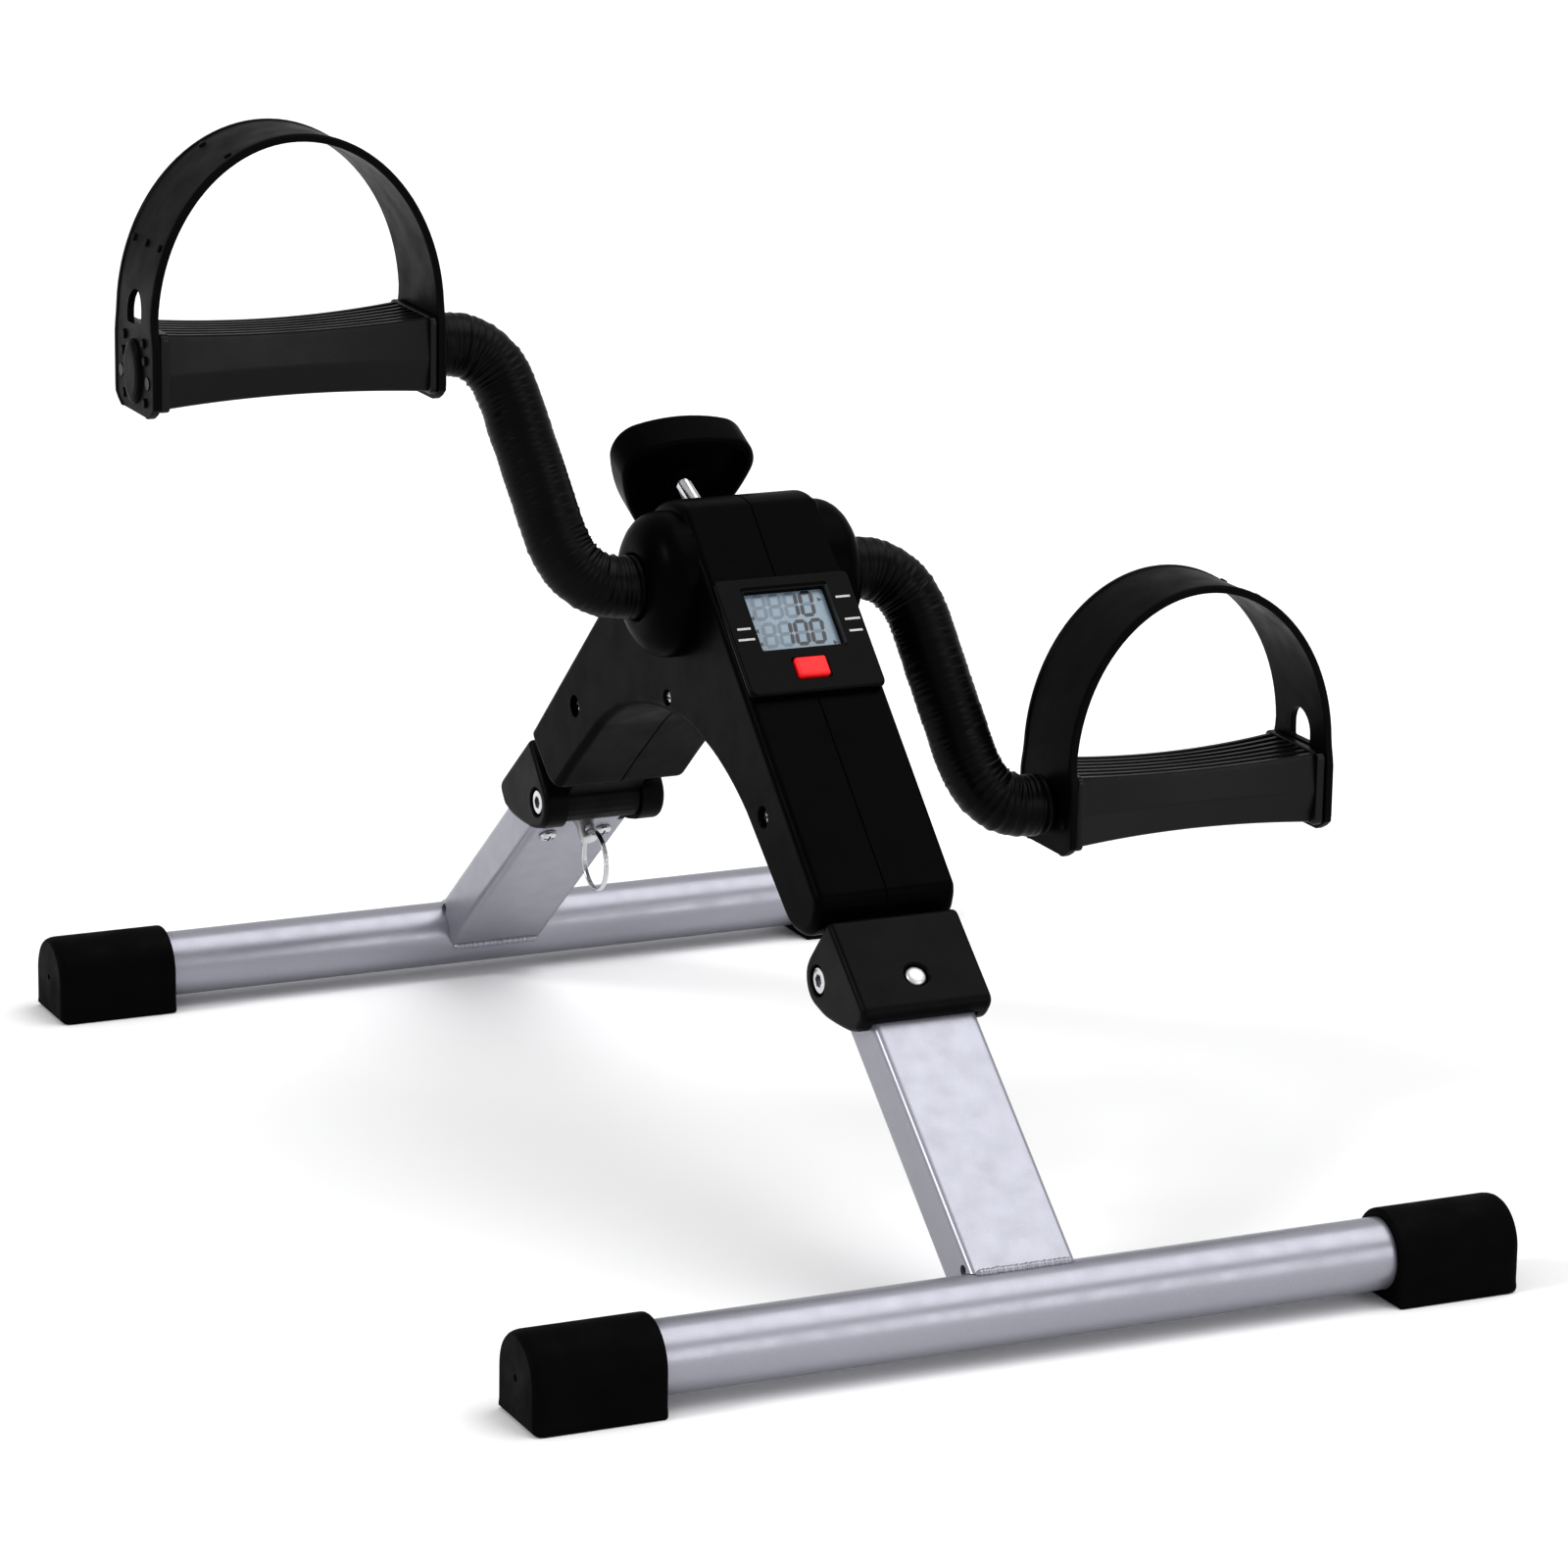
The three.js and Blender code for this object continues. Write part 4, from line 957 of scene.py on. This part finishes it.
def leg(side, front):
    """Leg tube, foot tube with its caps, hinge cover, fasteners, lock pin and pull ring."""
    f = leg_frame(front)
    sign = -1 if front else 1
    body = f"{side}_leg"
    w, t = LEG_W / 2, LEG_T / 2
    n1 = LEG_N0 + LEG_T
    along, outward = f.col[0].xyz, f.col[1].xyz
    across = outward.cross(along)
    tube_f = basis(across, outward, along, f.col[3].xyz) @ Matrix.Translation((0, LEG_N0 + t, 0))

    def section(a, b, r):
        return [(-a, -b, r), (a, -b, r), (a, b, r), (-a, b, r)]

    tube = prism(f"{side}_leg_profile", section(w, t, 3.2), 9.6, 141.5, tube_f)
    cut(
        tube,
        prism("leg_hollow", section(w - 1.6, t - 1.6, 2), 0, 150, tube_f),
        block("leg_top", 0, 20.8, -0.2, n1 + 1, -30, 30, f),
        block("leg_side", 0, 20.8, LEG_N0 - 1, n1 + 1, 15.5, 30, f),
        block("leg_side", 0, 20.8, LEG_N0 - 1, n1 + 1, -30, -15.5, f),
        rod("pin_hole", 4.3, -20, 40, pin_frame(f)),
        rod("cope", FOOT_R + 0.2, -40, 40, out_frame(1, sign * FOOT_Y, FOOT_Z), 96),
    )
    for x in (-LEG_SCREW_X, LEG_SCREW_X):
        cut(tube, rod("leg_screw_hole", 2.1, -20, 40, normal_frame(f, LEG_SCREW_S, x), 24))
    # small relief nick at the foot of each side wall
    cut(tube, rod("nick", 2.0, -30, 30, f @ Matrix.Translation((128.6, 13.1, 0)), 24))
    piece(tube, PAINT, body, "silver_paint", f"{side}_leg_tube", angle=30)

    # weld beads along the outer and inner faces
    rng = random.Random(3 if front else 4)
    centre_s, centre_n = 141.54, 7.69
    for tag, n, lean in (("outer", n1, 1), ("inner", LEG_N0, -1)):
        s = centre_s - math.sqrt(FOOT_R**2 - (n - centre_n) ** 2)
        pts, radii = [], []
        steps = 120
        for i in range(steps + 1):
            x = -w + 1.6 + (2 * w - 3.2) * i / steps
            wob = 0.35 * noise.noise(Vector((x * 0.35, sign * 3.0, lean)))
            pts.append(tuple(f @ Vector((s - 0.2 + wob, n + lean * 0.35, x))))
            ripple = 0.28 * abs(math.sin(x * 1.5 + 0.7 * math.sin(x * 0.5)))
            end = min(1, min(i, steps - i) / 6)
            radii.append((1.25 + ripple + rng.uniform(-0.05, 0.05)) * (0.35 + 0.65 * end))
        bead = swept(f"{side}_weld_{tag}", pts, lambda i, a, q=radii: q[i], 14)
        piece(bead, PAINT, body, "silver_paint", angle=60, weighted=False)

    foot = turned(
        f"{side}_foot_bar",
        [(FOOT_R, -FOOT_HALF), (FOOT_R, FOOT_HALF),
         (FOOT_R - 1.5, FOOT_HALF), (FOOT_R - 1.5, -FOOT_HALF)],
        out_frame(1, sign * FOOT_Y, FOOT_Z), 96, True,
    )
    piece(foot, PAINT, body, "silver_paint", f"{side}_foot_tube")

    for hand, k in (("left", -1), ("right", 1)):
        r = FOOT_R + CAP_WALL
        d = [(-r - 0.5, -FOOT_Z, 1.2), (r + 0.5, -FOOT_Z, 1.2), (r + 0.5, -FOOT_Z + 2.4, 0.8),
             (r, -FOOT_Z + 4, 1), *arc(0, 0, r, 0, 180, 36),
             (-r, -FOOT_Z + 4, 1), (-r - 0.5, -FOOT_Z + 2.4, 0.8)]
        cap_f = out_frame(k, sign * FOOT_Y, FOOT_Z)
        # the end rounding stays under the 2.4 mm of the lip, or the ring folds over itself
        levels = [(137, 0.9), (137.2, 0.45), (137.7, 0.1), (138.4, 0), (180.6, 0), (182.1, 0.2),
                  (183.4, 0.65), (184.2, 1.3), (184.5, 2.0)]
        cap = lofted(f"{side}_{hand}_foot_cap", d, levels, cap_f)
        cut(cap, rod("socket", FOOT_R + 0.15, 120, FOOT_HALF + 0.5, cap_f, 96))
        cut(cap, turned("dimple", [(0.5, 182.6), (1.1, 183.6), (1.4, 186)], cap_f, 20))
        piece(cap, RUBBER, body, "rubber_black", f"{side}_{hand}_cap", angle=35)

    # hinge cover
    outline = [(-9.5, 23, 3), (-HINGE_R, 0), *arc(0, 0, HINGE_R, 195, 300, 16), (12, -5.5, 4),
               (20, 1, 4), (27, 7.5, 4), (31, 13.5, 2.5), (31, 23, 4.5)]
    cover = prism(f"{side}_hinge_shroud", outline, -COVER_HALF, COVER_HALF, f, 2.2, 4)
    cut(
        cover,
        block("leg_slot", 20.5, 40, LEG_N0 - 12, n1 + 0.3, -20.35, 20.35, f),
        rod("barrel_room", COVER_BORE_R, -BARREL_HALF, BARREL_HALF, f, 72),
        block("back_room", -15, 0, -12, COVER_BORE_R, -BARREL_HALF, BARREL_HALF, f),
        block("under_room", -15, 22, -14, 8, -BARREL_HALF, BARREL_HALF, f),
        rod("bolt_hole", 3.3, -30, 30, f),
        turned("bolt_recess", [(5.7, 22), (5.7, 24.6), (6.5, 25.3), (6.5, 30)], f, 48),
        turned("nut_recess", [(6.5, -30), (6.5, -25.3), (5.7, -24.6), (5.7, -22)], f, 48),
        turned("pin_room", [(4.6, -15), (4.6, 22.2), (5.4, 23.2), (5.4, 30)], pin_frame(f), 48),
    )
    piece(cover, COVER, body, "abs_black", f"{side}_hinge_cover", angle=30)

    bolt_f = out_frame(-1, sign * HINGE_Y, HINGE_Z)
    profile = [(0, -23), (3, -23), (3, 22.3), (4.4, 22.3), (4.7, 22.6), (4.7, 24.0),
               (4.5, 24.35), (4.1, 24.5), (0, 24.5)]
    bolt = turned(f"{side}_hinge_socket_bolt", profile, bolt_f, 48)
    cut(bolt, rod("hex", 2.6, 21.5, 26, bolt_f, 6))
    piece(bolt, CHROME, body, "chrome", f"{side}_hinge_bolt")

    for hand, x in (("left", -LEG_SCREW_X * sign), ("right", LEG_SCREW_X * sign)):
        screw_f = normal_frame(f, LEG_SCREW_S, x, -1) @ Matrix.Translation((0, 0, -LEG_N0 + 0.3))
        head = cross_head(f"{side}_pan_screw_{hand}", 3.4, 1.9, screw_f, 1.6, 19)
        piece(head, CHROME, body, "chrome", f"{side}_leg_screw_{hand}")

    # lock pin and its split ring
    pf = pin_frame(f)
    profile = [(0, -11.2), (2.9, -11.2), (3.5, -10.7), (3.6, -10), (3.6, -4.2), (4, -3.4),
               (4, 21.3), (3.7, 22.0), (3.1, 22.5), (1.8, 22.8), (0, 22.9)]
    pin = turned(f"{side}_plunger", profile, pf, 48)
    hole_f = f @ Matrix.Translation((PIN_S, PIN_EYE_N, 0)) @ RIGHT_OUT
    cut(pin, rod("eye", 2.0, -10, 10, hole_f, 24))
    piece(pin, PLATED, f"{side}_pin", "chrome", f"{side}_lock_pin")
    coil = []
    turns, per = 2, 96
    middle_n = PIN_EYE_N - RING_R
    for i in range(turns * per + 1):
        a = 2 * math.pi * i / per + math.pi / 2
        drift = -0.69 + 1.38 * i / (turns * per)
        spot = Vector((PIN_S + RING_R * math.cos(a), middle_n + RING_R * math.sin(a), drift))
        coil.append(tuple(f @ spot))
    ring = swept(f"{side}_split_ring", coil, RING_WIRE_R, 14)
    piece(ring, CHROME, f"{side}_ring", "chrome", f"{side}_pull_ring",
          angle=60, weighted=False)


leg("front", True)
leg("rear", False)

# ---- CAD nodes kept as they are, with their own finishes ----
KEPT = {
    "front_frame_bar": BLACK_STEEL, "rear_frame_bar": BLACK_STEEL,
    "left_axle_bush": NYLON, "right_axle_bush": NYLON,
    "circuit_board": BOARD, "button_cell": CHROME, "tension_bracket": STEEL, "brake_pad": FELT,
    "crank_axle": STEEL, "left_crank_arm": BLACK_STEEL, "right_crank_arm": BLACK_STEEL,
    "left_spindle_nut": STEEL, "right_spindle_nut": STEEL,
    "front_hinge_nut": CHROME, "rear_hinge_nut": CHROME,
}
for name, mat in KEPT.items():
    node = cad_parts[name]
    node.data.materials.clear()
    node.data.materials.append(mat)
    node.data.polygons.foreach_set("use_smooth", [True] * len(node.data.polygons))
    node.data.set_sharp_from_angle(angle=math.radians(30))


# ---- studio ----
def floor_material():
    m = Finish("studio_floor", (0.93, 0.93, 0.935), 0.85, 0.0, Specular_IOR_Level=0.15)
    m.tint(m.span(m.noise(2.5, 3), 0.4, 0.6, 0, 1), (0.91, 0.91, 0.915), 0.5)
    return m.done()


FLOOR_HALF = 3e4
corners = ((-FLOOR_HALF, -FLOOR_HALF), (FLOOR_HALF, -FLOOR_HALF),
           (FLOOR_HALF, FLOOR_HALF), (-FLOOR_HALF, FLOOR_HALF))
ground = bmesh.new()
ground.faces.new([ground.verts.new((x, y, 0)) for x, y in corners])
floor = make("studio_floor", ground)
floor.data.materials.append(floor_material())

world = bpy.data.worlds.new("studio")
scene.world = world
world.use_nodes = True
world.node_tree.nodes["Background"].inputs["Color"].default_value = (1, 1, 1, 1)
world.node_tree.nodes["Background"].inputs["Strength"].default_value = 0.55
scene.view_settings.view_transform = "Standard"
scene.view_settings.look = "Medium High Contrast"


def lamp(name, towards, spread, strength):
    """A broad distant light, from the direction towards."""
    light = bpy.data.lights.new(name, "SUN")
    light.angle = math.radians(spread)
    light.energy = strength
    obj = bpy.data.objects.new(name, light)
    scene.collection.objects.link(obj)
    obj.rotation_euler = Vector(towards).to_track_quat("Z", "Y").to_euler()


lamp("side_light", (-0.80, 0, 0.60), 14, 0.9)
lamp("front_light", (0.41, -0.85, 0.3), 30, 0.45)
lamp("top_light", (0.4, -0.1, 0.9), 50, 1.15)

camera = bpy.data.objects.new("camera", bpy.data.cameras.new("camera"))
camera.data.lens = 138.42
camera.data.sensor_width = 36
camera.data.clip_end = 200
camera.matrix_world = basis(
    (0.90796011, -0.41875986, 0.01576753),
    (0.09403736, 0.24027092, 0.96614019),
    (-0.40836921, -0.87573401, 0.25753548),
    (-0.883365, -1.938454, 0.704466),
)
scene.collection.objects.link(camera)
scene.camera = camera
